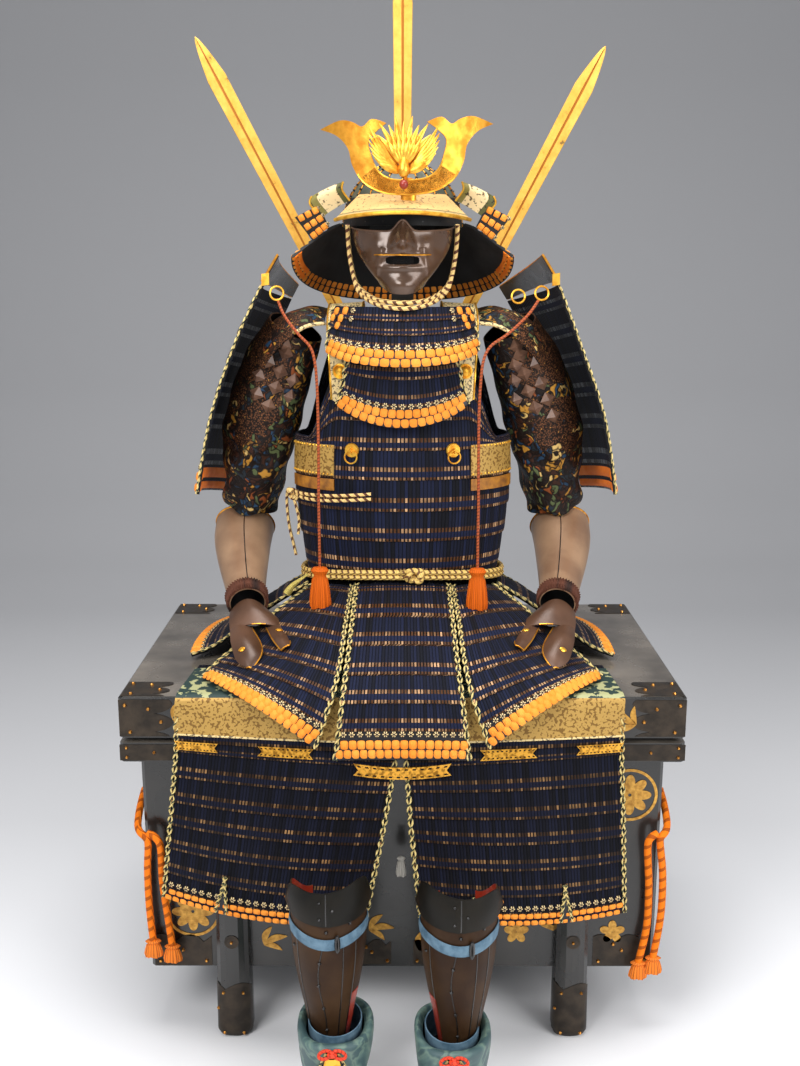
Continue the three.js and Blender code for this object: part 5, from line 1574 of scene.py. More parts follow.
def boot_face(boot_x, y):
    """Rings from the cuff down to the sole: a superellipse, longer to the front than the
    leg; v runs from the cuff to the sole."""
    def face(u, v):
        form = through(BOOT_FORM[::-1], v)
        turn = 2 * np.pi * u
        s, c = np.sin(turn), np.cos(turn)
        full_s, full_c = np.sign(s) * np.abs(s) ** 0.85, np.sign(c) * np.abs(c) ** 0.85
        return stack(boot_x + form[..., 2] * full_s, y + form[..., 1] - form[..., 3] * full_c, form[..., 0])
    return face


for side, x, y, boot_x in LEGS:
    face = boot_face(boot_x, y)
    wave = relieved(face, lambda u, v: 1.8 * np.sin(2 * np.pi * (3 * u + 1.5 * v)) * np.sin(np.pi * v))
    v = [*np.linspace(0, 0.97, 34), 0.985, 0.995, 1.0]
    shell(f"boot_{side}_cloth", wave, [f"boot_{side}"], [boot_cloth, dark_lining_and_painted_shade], 72, v=v, thickness=3.0,
          wrap=True)
    collar = tube([[boot_x, y - 13, 171, 44, 53], [boot_x, y - 12, 120, 42, 50]])
    shell(f"boot_{side}_collar", collar, [], [blue_cloth, blue_cloth], 48, 6, 2.0, wrap=True)
print("legs done")

# %% [markdown]
# ## The chest and its fittings
#
# The chest keeps the imported model's shape. Its black lacquer mirrors the room, and its level
# faces carry a grey film that is partly dust and partly a painted reflection of the bright room.
# Forged iron mounts with cloud-shaped edges guard the corners, held by brass rivets, and gold
# lacquer figures are painted between them. The crest roundels are a plain ring round a rosette,
# a design of no family.

# %% Lacquer, iron and brass of the chest
def lacquer_greyed_on_level_faces(base, rub, dust_and_painted_reflection):
    """Lacquer with slow clouds; faces whose normal points up show a grey film instead, partly dust and
    partly a painted reflection of the bright room.
    """
    def draw(t):
        cloud = node(t, "TexNoise", node(t, "TexCoord", out="Object"), Scale=9.0, Detail=5.0)
        tone = node(t, "ValToRGB", cloud, stops=[[0.4, base], [0.7, rub]])
        film = node(t, "ValToRGB", cloud, stops=[[0.3, dust_and_painted_reflection], [0.75, rub]])
        up = node(t, "SeparateXYZ", node(t, "NewGeometry", out="Normal")).node.outputs[2]
        # level faces take the grey film: partly dust, partly a painted reflection
        level = node(t, "Math", up, 0.9, operation="GREATER_THAN")
        return {"Base Color": node(t, "Mix", level, tone, film, data_type="RGBA"),
                "Roughness": node(t, "MapRange", cloud, 0.3, 0.7, 0.2, 0.36)}
    return draw


lacquered_wood = finish("black lacquer on wood", lacquer_greyed_on_level_faces("#12100e", "#2a2622", "#7a7166"),
                        Coat_Weight=0.4, Coat_Roughness=0.15)
forged_iron = finish("forged iron, browned", plain("#2c2620", "#453b31", 40, (0.35, 0.55), 0.3, 300),
                     Metallic=0.6)
rivet_brass = finish("brass", worn_gilt("#e0a050", "#8a5420", 0.1, 200.0), Metallic=1.0)
gold_paint = finish("gold lacquer painting", plain("#d9a548", "#a9762a", 120, (0.35, 0.5), 0.1, 500),
                    Metallic=0.4)


def dress(made, *names):
    """Give carried-over pieces their finish."""
    for name in names:
        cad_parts[name].material_slots[0].material = made


LEG_NAMES = [f"chest_leg_{end}_{side}" for end in ("front", "back") for side in ("left", "right")]
dress(lacquered_wood, "chest_body", "chest_lid", "stand", *LEG_NAMES)
dress(black_lacquer, "blade_socket")
dress(bright_gilt, "ring_mount_left", "ring_mount_right", "breast_ring_left", "breast_ring_right")
print("carried pieces dressed")

# %% [markdown]
# ### Mounts
#
# Mounts are sheet iron cut in cloud shapes and riveted on. Each is a flat wall whose free edge
# is drawn back by a wave, and its twin on the other side is made from the same numbers.

# %% Chest mounts
CHEST = {"lid_x": 485.5, "lid_y": 291.5, "body_x": 455, "body_y": 262}
PLATE = 0.8


def flat_face(origin, across, down):
    """A plane: origin + u * across + v * down."""
    return lambda u, v: column(origin) + u[..., None] * column(across) + v[..., None] * column(down)


def scallops(t):
    """A cloud-shaped edge: 0.66 + 0.34 * |sin(pi (2t + 0.25))|^0.6 of the full reach."""
    return 0.66 + 0.34 * np.abs(np.sin(np.pi * (2 * t + 0.25))) ** 0.6


def clouded(face, free):
    """A face drawn back along its free edge, which is right, left or head."""
    return {"right": lambda u, v: face(u * scallops(v), v),
            "left": lambda u, v: face(1 - (1 - u) * scallops(v), v),
            "head": lambda u, v: face(u, 1 - (1 - v) * scallops(u))}[free]


def both_ways(origin, across, down, free):
    """A mount and its mirror image in the chest's middle."""
    ox, oy, oz = origin
    other = {"right": "left", "left": "right", "head": "head"}[free]
    return [(flat_face(origin, across, down), free),
            (flat_face((-ox - across[0] - down[0], oy, oz), across, down), other)]


lid_x, lid_y, body_x, body_y = (CHEST[key] for key in ("lid_x", "lid_y", "body_x", "body_y"))
mounts = both_ways((-lid_x + 1, -lid_y - 0.3, 640), (92, 0, 0), (0, 0, -66), "right")
mounts += both_ways((-lid_x + 4, -lid_y + 74, 645.3), (80, 0, 0), (0, -70, 0), "right")
mounts += both_ways((-lid_x + 4, lid_y - 4, 645.3), (80, 0, 0), (0, -70, 0), "right")
mounts += both_ways((-body_x + 6, -body_y - 0.5, 182), (104, 0, 0), (0, 0, -62), "head")
mounts += both_ways((-90, -body_y - 0.5, 172), (70, 0, 0), (0, 0, -50), "head")
plates, rivets = [], []
for face, free in mounts:
    cut = clouded(face, free)
    plates.append(plate(cut, 14, 24, PLATE, 0.1))
    rivet_u = {"right": (0.12, 0.55, 0.2, 0.78), "left": (0.88, 0.45, 0.8, 0.22),
               "head": (0.1, 0.5, 0.9, 0.35)}[free]
    rivet_v = {"head": (0.85, 0.5, 0.85, 0.3)}.get(free, (0.15, 0.25, 0.88, 0.6))
    rivets.append(pillows(face, rivet_u, rivet_v, 7, 7, 3.4, lift=1.0, square=0.9))
for x in (-lid_x - 0.5, lid_x + 0.5 - 118):
    strip = flat_face((x, -lid_y - 0.3, 559), (118, 0, 0), (0, 0, -29))
    plates.append(plate(strip, 6, 4, PLATE, 0.1))
    rivets.append(pillows(strip, (0.1, 0.1, 0.5, 0.9, 0.9), (0.2, 0.8, 0.5, 0.2, 0.8), 6, 6, 3, lift=1.0,
                          square=0.9))

# %% [markdown]
# ### Shoes of the legs
#
# Each leg stands in an iron shoe with a waved edge, and a round washer sits above it.

# %% Shoes of the legs
def leg_face(side, end):
    """The rounded front of a leg: half width times cos(turn) across and 0.25 + 0.75
    sin(turn)^0.5 of the depth outward, both scaled by the height."""
    def face(u, v):
        turn = np.pi * mix(0.97, 0.03, u if end < 0 else 1 - u)
        z = mix(108, 2, v)
        scale = np.interp(z, [0, 10, 300], [0.86, 1.0, 0.94])
        return stack(side * 303 + 31.5 * scale * np.cos(turn),
                     end * (262.3 + 42 * (0.25 + 0.75 * np.sqrt(np.sin(turn))) * scale), z)
    return face


washers = []
for side in (-1, 1):
    for end in (-1, 1):
        foot = leg_face(side, end)
        shoe = lambda u, v: foot(u, 1 - (1 - v) * (0.88 + 0.12 * np.abs(np.cos(1.5 * np.pi * u))))
        plates.append(plate(shoe, 24, 12, PLATE, 0.1))
        rivets.append(pillows(foot, (0.3, 0.7, 0.14, 0.3, 0.7), (0.18, 0.18, 0.5, 0.93, 0.93), 6, 6, 3,
                              lift=1.0, square=0.9))
        plain_front = flat_face((side * 303 - 15, end * 302.9, 205), (30, 0, 0), (0, 0, -30))
        front = plain_front if end < 0 else lambda u, v, f=plain_front: f(1 - u, v)
        washers.append(boss(front, 0.5, 0.5, 12.7, 1.4, 0.3))
        rivets.append(pillows(front, 0.5, 0.5, 6, 6, 3, lift=1.8, square=0.9))
joined("chest_mounts", plates + washers, [forged_iron])
joined("chest_rivets", rivets, [rivet_brass])
print("mounts", len(plates), "washers", len(washers))

# %% [markdown]
# ### Gold lacquer figures
#
# Roundels, blossoms and leaves are painted in raised gold. They are thin walls on the chest's
# front: a ring whose outer radius waves makes petals, and a sine makes a leaf.

# %% Gold lacquer figures
def figure(centre, inner, outer, petals=0, dip=0.45):
    """A flat figure on the chest's front between two radii; the outer one follows
    1 - dip + dip * |cos(petals * turn / 2)|, so it has that many petals."""
    x, y, z = centre

    def face(u, v):
        turn = 2 * np.pi * u + np.pi / 2
        wave = 1 - dip + dip * np.abs(np.cos(petals * turn / 2 - petals * np.pi / 4)) if petals else 1.0
        reach = mix(inner, outer * wave, v)
        return stack(x + reach * np.cos(turn), y + 0 * turn, z + reach * np.sin(turn))
    return plate(face, 80, 4, 0.7, 0.05, wrap=True)


def leaf(centre, length, width, lean):
    """A leaf: its half width is width / 2 * sin(pi v)^0.8 along a midrib that bends."""
    x, y, z = centre
    along = column([math.cos(lean), 0, math.sin(lean)])
    aside = column([-math.sin(lean), 0, math.cos(lean)])

    def face(u, v):
        half = width / 2 * np.sin(np.pi * np.clip(v, 0.001, 0.999)) ** 0.8
        bend = 0.12 * length * np.sin(np.pi * v)
        return (column([x, y, z]) + along * (length * v)[..., None]
                + aside * (bend + half * (2 * u - 1))[..., None])
    return plate(face, 4, 16, 0.7, 0.05)


BODY_FRONT, LID_FRONT = -CHEST["body_y"] - 0.6, -CHEST["lid_y"] - 0.6
figures = []
for x, z in ((400, 453), (-377, 227)):
    centre = (x, BODY_FRONT, z)
    figures += [figure(centre, 44, 49), figure(centre, 3, 38, 8, 0.4)]
for x, z in ((379, 187), (206, 187), (-150, 200)):
    figures += [figure((x, BODY_FRONT, z), 1, 23, 5, 0.5)]
for x, y, z, turned in ((-250, BODY_FRONT, 160, 0.4), (-60, BODY_FRONT, 190, 0.1),
                        (150, BODY_FRONT, 170, 2.8), (30, BODY_FRONT, 150, 0.6),
                        (250, BODY_FRONT, 200, 0.3), (-390, LID_FRONT, 600, 0.5),
                        (400, LID_FRONT, 596, 2.4), (330, LID_FRONT, 602, 0.2)):
    figures += [leaf((x, y, z), 46, 13, turned), leaf((x, y, z), 40, 12, turned + 0.8),
                leaf((x, y, z), 34, 10, turned - 0.7)]
joined("gold_figures", figures, [gold_paint])

# %% [markdown]
# ## The belt
#
# Two braids side by side round the waist, knotted in front with a tuft on the left hip.

# %% Belt
BELT = {"z": 812, "rise": 15, "stand": 11.5, "strand": 4.7}


def belt_line(turn, up, out=0.0):
    """Round the trunk at the waist: a stand-off from its surface, dropping by rise times
    sin(turn)^2 towards the hips."""
    z = BELT["z"] - BELT["rise"] * np.sin(turn) ** 2
    line = trunk_point(turn, np.maximum(z, WAIST))
    line[..., 2] = z + up
    return line + stack(np.sin(turn), -np.cos(turn), 0 * turn) * (BELT["stand"] + out)


all_round = np.linspace(0, 2 * np.pi, 240, endpoint=False)
strands = [swept(belt_line(all_round, up), BELT["strand"], 8, (0, 0, 1), looped=True)
           for up in (-BELT["strand"], BELT["strand"])]
loop_turn = np.linspace(0, 2 * np.pi, 40, endpoint=False)
knot_at = belt_line(column([0.11]), 0.0, 6.0)[0]
for lean, wide, tall in ((0.5, 15, 8), (-0.6, 15, 8), (1.57, 10, 9)):
    loop = stack(wide * np.cos(loop_turn), 3 * np.sin(2 * loop_turn + lean), tall * np.sin(loop_turn))
    spun = stack(loop[..., 0] * math.cos(lean) - loop[..., 2] * math.sin(lean), loop[..., 1],
                 loop[..., 0] * math.sin(lean) + loop[..., 2] * math.cos(lean))
    strands.append(swept(knot_at + spun, 4.2, 8, (0, 1, 0.1), looped=True))
joined("belt_braids", strands, [gold_braid], instead_of=["belt"])
tuft_silk = finish("silk tuft, green and gold", threads("#d8bf62", "#66702c", 10.0), Roughness=0.7)
tuft_path = route([[-178, -58, 800], [-190, -72, 794], [-204, -80, 784], [-214, -84, 770]], 16)[0]
tuft_size = mix(4.0, 11.0, smooth(np.linspace(0, 1, 16), 0.1, 1))
points, faces, uv = swept(tuft_path, tuft_size, 16, (0, 0.4, 1), flat=0.6)
uv[:, 0] *= 12
piece("belt_tuft", points, faces, [tuft_silk], uv)

# %% [markdown]
# ## Crest, horns and burst
#
# The crescent is gilt sheet copper, pierced with scrolls between two raised rims, and its
# ends open into two forked horns. The ornament in front is a burst of gilt flames with two
# side sprays and a red stone, a design of its own.

# %% Crest
CREST = {"lean": 1.8, "pivot": 1500, "shift": 10, "y": -124, "curl": 26, "half_x": 98, "thick": 2.5}
CREST_IN = [[0, 1503], [30, 1507], [50, 1521], [61, 1545], [65, 1568], [52, 1583], [34, 1596]]
CREST_OUT = [[0, 1478], [42, 1483], [76, 1501], [94, 1531], [101, 1560], [120, 1582], [148, 1595]]
CREST_HEAD = [[34, 1596], [58, 1604], [75, 1593], [92, 1602], [114, 1606], [148, 1595]]


def crest_face(u, v):
    """Half by half from the middle: a straight line from the inner to the outer edge, which
    takes on the forked line of the head towards the tip with smooth(t) from 0.72 to 1."""
    side = np.where(u < 0.5, -1.0, 1.0)
    t = np.abs(2 * u - 1)
    inner, outer = through(CREST_IN, t), through(CREST_OUT, t)
    flat = mix(inner, outer, v[..., None])
    end = mix(column(CREST_HEAD[0]), column(CREST_HEAD[-1]), v[..., None])
    flat = flat + (through(CREST_HEAD, v) - end) * smooth(t, 0.72, 1.0)[..., None]
    x = side * flat[..., 0]
    y = CREST["y"] + CREST["curl"] * (x / CREST["half_x"]) ** 2
    lean = math.radians(CREST["lean"])
    up = flat[..., 1] - CREST["pivot"]
    return stack(x * math.cos(lean) - up * math.sin(lean) + CREST["shift"], y,
                 CREST["pivot"] + up * math.cos(lean) + x * math.sin(lean))

# %% [markdown]
# ### Pierced sheet
#
# The scrolls are cut right through the real sheet. Here a pattern of cells darkens the gilding
# between the rims, since holes this fine only read as dark.

# %% Pierced sheet
def pierced(t):
    """Satin gilding; between the rims of the crescent the cells of a Voronoi pattern are
    dark where they are pierced."""
    where = node(t, "TexCoord", out="Object")
    place = node(t, "SeparateXYZ", node(t, "TexCoord", out="UV"))
    u, v = place, place.node.outputs[1]
    cloud = node(t, "TexNoise", where, Scale=45.0, Detail=5.0)
    tone = node(t, "ValToRGB", cloud, stops=[[0.35, "#c8801e"], [0.6, "#f0a838"]])
    drift = node(t, "TexNoise", where, Scale=90.0, out="Color")
    bent = node(t, "VectorMath", where, drift, (0.02, 0.02, 0.02), operation="MULTIPLY_ADD")
    cells = node(t, "TexVoronoi", bent, Scale=120.0, out="Distance")
    cells.node.inputs["Randomness"].default_value = 0.8
    out = node(t, "Math", node(t, "Math", u, 0.5, operation="SUBTRACT"), operation="ABSOLUTE")
    low = node(t, "Math", out, 0.19, operation="LESS_THAN")
    inside = node(t, "Math", node(t, "Math", node(t, "Math", v, 0.5, operation="SUBTRACT"),
                                  operation="ABSOLUTE"), 0.36, operation="LESS_THAN")
    hole = node(t, "Math", cells, 0.40, operation="LESS_THAN")
    hole = node(t, "Math", node(t, "Math", hole, low, operation="MULTIPLY"), inside, operation="MULTIPLY")
    colour = node(t, "Mix", hole, tone, "#1c0e06", data_type="RGBA")
    relief = node(t, "Bump", Strength=0.6, Distance=0.0015, Height=node(
        t, "Math", node(t, "Math", cells, low, operation="MULTIPLY"), cloud, operation="ADD"))
    return {"Base Color": colour, "Roughness": node(t, "MapRange", cloud, 0.3, 0.7, 0.45, 0.32),
            "Normal": relief}


pierced_gilt = finish("gilt copper sheet, pierced", pierced, Metallic=0.75)
joined("crest_sheet", [plate(crest_face, 120, 20, CREST["thick"] / 2, 1.2)], [pierced_gilt],
       instead_of=["crest"])
rim_span = np.linspace(0.29, 0.71, 60)
rims = [swept(crest_face(rim_span, np.full(60, v)) + [0, -1.8, 0], 1.5, 6, (0, 1, 0))
        for v in (0.04, 0.96)]
joined("crest_rims", rims, [bright_gilt])
holder = swept(column([[10, -117, z] for z in (1462, 1466, 1490, 1504, 1507)]),
               column([11, 13, 13, 11, 6]), 14, (0, 1, 0.01), flat=0.4)
pin = swept(column([[8, -119, 1498], [5, -128, 1508], [2, -137, 1522], [2, -140, 1534]]), 3.0, 8, (1, 0, 0))
joined("crest_holder", [holder, pin], [gilt])

# %% [markdown]
# ### The burst
#
# A burst is beaten and cut from sheet. Each flame is a squeezed tube that swells and runs to a
# point, which keeps every flame closed and lets a loop lay the whole fan.

# %% Burst of flames
def tongue(base, lean, length, width, bend, y_out):
    """A flame: a path that bends aside by bend * s^2, with a width of width * sin of
    pi (0.12 + 0.86 s)^0.8, squeezed flat."""
    s = np.linspace(0, 1, 14)
    along = column([math.sin(lean), 0, math.cos(lean)])
    aside = column([math.cos(lean), 0, -math.sin(lean)])
    path = (column(base) + along * (length * s)[:, None] + aside * (bend * s ** 2)[:, None]
            + column([0, -1, 0]) * (y_out * np.sin(np.pi * s))[:, None])
    size = width * np.sin(np.pi * (0.12 + 0.86 * s) ** 0.8) + 0.25
    return swept(path, size, 8, (0, 1, 0.02), flat=0.4)


BURST = {"x": 2, "y": -136, "z": 1532}
flames = []
for number, lean in enumerate(np.linspace(-1.0, 1.0, 11)):
    base = (BURST["x"] + 9 * lean, BURST["y"] - 2 * (number % 2), BURST["z"])
    length = 62 + 12 * math.cos(1.5 * lean) - 10 * (number % 2)
    flames.append(tongue(base, 0.75 * lean, length, 5.6, 9 * lean, 4))
for lean in np.linspace(-0.8, 0.8, 7):
    base = (BURST["x"] + 6 * lean, BURST["y"] - 7, BURST["z"] - 4)
    flames.append(tongue(base, 0.8 * lean, 44 + 6 * math.cos(2 * lean), 4.6, -6 * lean, 6))
for side in (-1, 1):
    for number, lean in enumerate(np.linspace(0.8, 1.4, 6)):
        base = (BURST["x"] + side * 8, BURST["y"] - 2 - number, BURST["z"] - 12 - number)
        flames.append(tongue(base, side * lean, 84 - 8 * number, 5.6, -side * 15, 5))
heart = column([[0, 0], [5, 1], [9, 6], [9.5, 14], [7, 24], [3, 32], [0.3, 36]])
heart_path = column([BURST["x"], BURST["y"] - 9, BURST["z"] - 26]) + column([[0, 0, 1]]) * heart[:, 1:]
flames.append(swept(heart_path, heart[:, 0] + 0.2, 14, (0, 1, 0.01)))
joined("burst_flames", flames, [bright_gilt], instead_of=["crest_ornament"])
stone = swept(column([[BURST["x"], BURST["y"] - 12, BURST["z"] - 46 + z] for z in (0, 2, 6, 11, 15, 17)]),
              column([0.6, 5, 7.5, 7.5, 5, 0.6]), 14, (0, 1, 0.01))
joined("burst_stone", [stone], [red_lacquer])

# %% [markdown]
# ## Blades
#
# Three straight blades of gilt wood fan out behind the helmet. A narrow groove runs down
# the middle of each face.

# %% Blades
BLADE = {"y": 224, "hub": 1033, "root": 95, "root_half": 11.5, "half": 19, "thick": 3.2, "point": 85}
BLADE_SECTION = [[-1, 0], [-0.96, 0.5], [-0.13, 1.0], [-0.09, 0.35], [0.09, 0.35], [0.13, 1.0],
                 [0.96, 0.5], [1, 0]]


def blade_shape(turn, tip):
    """A closed section carried along the reach: its half width runs from the root to the
    shoulder and falls to the point with the distance left to the power 0.62."""
    point, root = BLADE["point"], BLADE["root"]
    reach = np.concatenate([np.linspace(root, tip - point, 12),
                            tip - point * (1 - np.linspace(0.1, 1, 14) ** 0.9)])
    half = np.where(reach < tip - point,
                    mix(BLADE["root_half"], BLADE["half"], (reach - root) / (tip - point - root)),
                    BLADE["half"] * np.clip((tip - reach) / point, 0.002, 1) ** 0.62)
    front = column(BLADE_SECTION)
    ring = np.concatenate([front * [1, -1], front[-2:0:-1] * [1, 1]])
    x = half[:, None] * ring[None, :, 0]
    y = BLADE["thick"] * ring[None, :, 1] * np.minimum(1, half[:, None] / BLADE["half"] * 3)
    z = np.broadcast_to(reach[:, None], x.shape)
    c, s = math.cos(turn), math.sin(turn)
    points = stack(x * c + z * s, BLADE["y"] + y, BLADE["hub"] + z * c - x * s)
    sides = ring.shape[0]
    fan = np.arange(1, sides - 1, 2)
    cap = np.stack([np.zeros_like(fan), fan, fan + 1, fan + 2], -1)
    cap[-1, 3] = sides - 1
    faces = np.concatenate([grid(len(reach) - 1, sides, wrap=True)[:, ::-1],
                            cap[:, ::-1], (len(reach) - 1) * sides + cap])
    uv = np.stack(np.broadcast_arrays(ring[None, :, 0], reach[:, None] / 100), -1)
    return points.reshape(-1, 3), faces, uv.reshape(-1, 2)


def gilt_wood(t):
    """Gold leaf on wood: a darker line in the groove by |u|, and worn patches."""
    where = node(t, "TexCoord", out="Object")
    u = node(t, "SeparateXYZ", node(t, "TexCoord", out="UV"))
    wear = node(t, "TexNoise", where, Scale=30.0, Detail=6.0, Roughness=0.7)
    tone = node(t, "ValToRGB", wear, stops=[[0.32, "#8a6a30"], [0.38, "#e0a53c"], [0.6, "#f2bc52"]])
    groove = node(t, "ValToRGB", node(t, "Math", u, operation="ABSOLUTE"), stops=[
        [0.0, "#ffffff"], [0.10, "#ffffff"], [0.14, "#000000"]])
    colour = node(t, "Mix", groove, tone, "#b4701c", data_type="RGBA")
    return {"Base Color": colour, "Roughness": node(t, "MapRange", wear, 0.3, 0.7, 0.6, 0.42),
            "Normal": node(t, "Bump", Strength=0.2, Distance=0.0005, Height=wear)}


gilt_blade = finish("gold leaf on wood", gilt_wood, Metallic=0.35)
for side, turn, tip in (("left", -27.7, 857), ("middle", 0, 905), ("right", 27.7, 838)):
    joined(f"blade_{side}_leaf", [blade_shape(math.radians(turn), tip)], [gilt_blade],
           instead_of=[f"blade_{side}"])

# %% [markdown]
# ## Turned-back lame ends
#
# The front ends of the neck guard fold outward: a leaf of printed leather between green
# borders, with laced blocks below.

# %% Turnbacks
def banded_leather(t):
    """Cream leather with green bands beside both ends, by u."""
    where = node(t, "TexCoord", out="Object")
    u = node(t, "SeparateXYZ", node(t, "TexCoord", out="UV"))
    speck = node(t, "TexNoise", where, Scale=160.0, Detail=4.0)
    ground = node(t, "ValToRGB", speck, stops=[[0.36, "#5d4a2c"], [0.42, "#ecd09a"]])
    band = node(t, "ValToRGB", u, stops=[[0.0, "#8d9464"], [0.2, "#5d6a44"], [0.21, "#ffffff"],
                                        [0.79, "#ffffff"], [0.80, "#5d6a44"], [1.0, "#8d9464"]])
    band.node.color_ramp.interpolation = "CONSTANT"
    return {"Base Color": node(t, "Mix", 1.0, ground, band, data_type="RGBA", blend_type="MULTIPLY")}


leaf_leather = finish("deerskin, cream between green bands", banded_leather, Roughness=0.6)
TURN_UPPER = hung(out=[0.3, -1, 0.6], rungs=[
    [-160, -34, 1482, -104, -44, 1506, 4], [-163, -36, 1468, -106, -46, 1492, 9],
    [-143, -32, 1446, -93, -40, 1474, 4]])
TURN_LOWER = hung(out=[0, -1, 0], rungs=[
    [-191, -30, 1446, -148, -36, 1466, 3], [-160, -28, 1406, -130, -32, 1430, 3]])
for side, built in (("left", as_built), ("right", mirrored)):
    upper, lower = built(TURN_UPPER), built(TURN_LOWER)
    shell(f"turnback_{side}_leaf", upper, [f"turnback_{side}"], [leaf_leather, dark_lining_and_painted_shade], 20, 12, 3.0)
    rims = [swept(edge_line(upper, edge, 0.4, 24), 1.9, 6, (0, 1, 0.1)) for edge in ("left", "right")]
    joined(f"turnback_{side}_rims", rims, [bright_gilt])
    shell(f"turnback_{side}_ground", lower, [], [dark_lining_and_painted_shade], 8, 8, 3.0)
    block_u, block_v = np.meshgrid([0.2, 0.5, 0.8], [0.17, 0.5, 0.83])
    blocks = pillows(lower, block_u, block_v, 11.0, 11.5, 3.0, lift=1.5, square=0.2)
    knots = pillows(lower, [0.98, 0.98, 0.98], [0.1, 0.45, 0.8], 8, 8, 2.0, lift=1.5, square=0.85)
    joined(f"turnback_{side}_blocks", [blocks, knots], [orange_silk, flower_knot], [0, 1])

# %% [markdown]
# ## Shoulder cloth
#
# The brocade of the sleeve goes on over the shoulder to the strap, with a leather binding in
# front. It is one sheet with shallow waves, laid on the sleeve.

# %% Shoulder cloth
SHOULDER = hung(out=[-0.5, 0, 0.86], rungs=[
    [-134, 62, 1284, -137, -66, 1262, 6], [-168, 72, 1284, -176, -80, 1256, 20],
    [-214, 78, 1256, -222, -84, 1222, 30], [-240, 70, 1218, -252, -72, 1180, 30]])
for side, built in (("left", as_built), ("right", mirrored)):
    cover = built(relieved(SHOULDER, lambda u, v: 2.0 * np.sin(9 * u + 4 * v) * np.sin(np.pi * v)))
    cloth = shell(f"shoulder_{side}_cloth", cover, [], [sleeve_cloth, dark_lining_and_painted_shade], 32, 24, 2.5)
    front_edge = edge_line(cover, "right" if side == "left" else "left", 0.5)[:26]
    binding = joined(f"shoulder_{side}_binding", [swept(front_edge, 3.4, 8, (0, 1, 0))], [plain_cream])
    declare_sheet(cloth, cover)

# %% [markdown]
# ### Rings and clips
#
# The guards hang on cords from gilt rings, and a clip folds over the top plate. A ring is a
# looped tube and a clip a thick plate.

# %% Shoulder guard rings and clips
rings, clips = [], []
spin = np.linspace(0, 2 * np.pi, 36, endpoint=False)
for x, y, z in ((-217, -117, 1316), (240, -117, 1316), (202, -92, 1310)):
    rings.append(swept(stack(x + 11.5 * np.cos(spin), y + 2 * np.sin(spin), z + 11.5 * np.sin(spin)), 1.8, 8,
                       (0, 1, 0), looped=True))
for x in (-243, 258):
    clip = flat_face((x, -112, 1348), (13, 0, 2), (0, -2, -20))
    clips.append(plate(clip, 4, 5, 3.0, 4.0))
joined("shoulder_rings", rings + clips, [bright_gilt])

# %% [markdown]
# ## Leather and gilt on the cuirass and the thigh guards
#
# Patches of gilt leather are nailed to both sides of the cuirass, below the arms. They are
# cut from its front by u and v and lifted, so they follow its curve.

# %% Side patches
nail_rows = []
for side, built in (("left", as_built), ("right", mirrored)):
    front = built(CUIRASS_FRONT)
    span = (0.055, 0.29) if side == "left" else (0.71, 0.945)
    patch = part_of(lifted(front, 5.5), *span, 0.355, 0.50)
    strip = part_of(lifted(front, 5.5), *span, 0.515, 0.57)
    shell(f"side_patch_{side}", patch, [], [gold_leather, dark_lining_and_painted_shade], 16, 8, 2.0)
    shell(f"side_strip_{side}", strip, [], [amber_leather, dark_lining_and_painted_shade], 16, 4, 2.0)
    nail_u = np.linspace(0.03, 0.97, 15)
    nail_rows += [pillows(patch, nail_u, 0.05, 4, 4, 2, lift=0.5, square=0.9, cells=2),
                  pillows(patch, nail_u, 0.95, 4, 4, 2, lift=0.5, square=0.9, cells=2)]
joined("side_patch_nails", nail_rows, [bright_gilt])

# %% [markdown]
# ### Thigh guard leather and straps
#
# Green and gilt leather covers the upper part of each thigh guard, with piping at its foot.
# Gilt straps with swallow-tail ends sit below, and the hem is split for walking. All of it is
# cut from the guard's own surface, so it lies on it everywhere.

# %% Thigh guard leather and straps
def swallow(face, u0, u1, v0, v1, notch=0.16):
    """A strap whose two ends are notched like a swallow's tail: its length is drawn in by
    notch * (1 - |2v - 1|) at each end."""
    def cut(u, v):
        reach = 1 - notch * (1 - np.abs(2 * v - 1))
        return face(mix(u0, u1, 0.5 + (u - 0.5) * reach), mix(v0, v1, v))
    return cut


def dotted_gilt(t):
    """Gilt copper with a row of dark holes along both edges and clouds of engraving."""
    place = node(t, "SeparateXYZ", node(t, "TexCoord", out="UV"))
    u, v = place, place.node.outputs[1]
    cloud = node(t, "TexNoise", node(t, "TexCoord", out="Object"), Scale=140.0, Detail=4.0)
    tone = node(t, "ValToRGB", cloud, stops=[[0.4, "#9a6a1c"], [0.55, "#f0b040"]])
    step = node(t, "Math", node(t, "Math", u, 12.0, operation="MULTIPLY"), operation="FRACT")
    near = node(t, "Math", node(t, "Math", step, 0.5, operation="SUBTRACT"), operation="ABSOLUTE")
    edge = node(t, "Math", node(t, "Math", v, 0.5, operation="SUBTRACT"), operation="ABSOLUTE")
    row = node(t, "Math", node(t, "Math", edge, 0.32, operation="SUBTRACT"), operation="ABSOLUTE")
    dot = node(t, "Math", node(t, "Math", near, 0.22, operation="LESS_THAN"),
               node(t, "Math", row, 0.07, operation="LESS_THAN"), operation="MULTIPLY")
    return {"Base Color": node(t, "Mix", dot, tone, "#150c06", data_type="RGBA")}


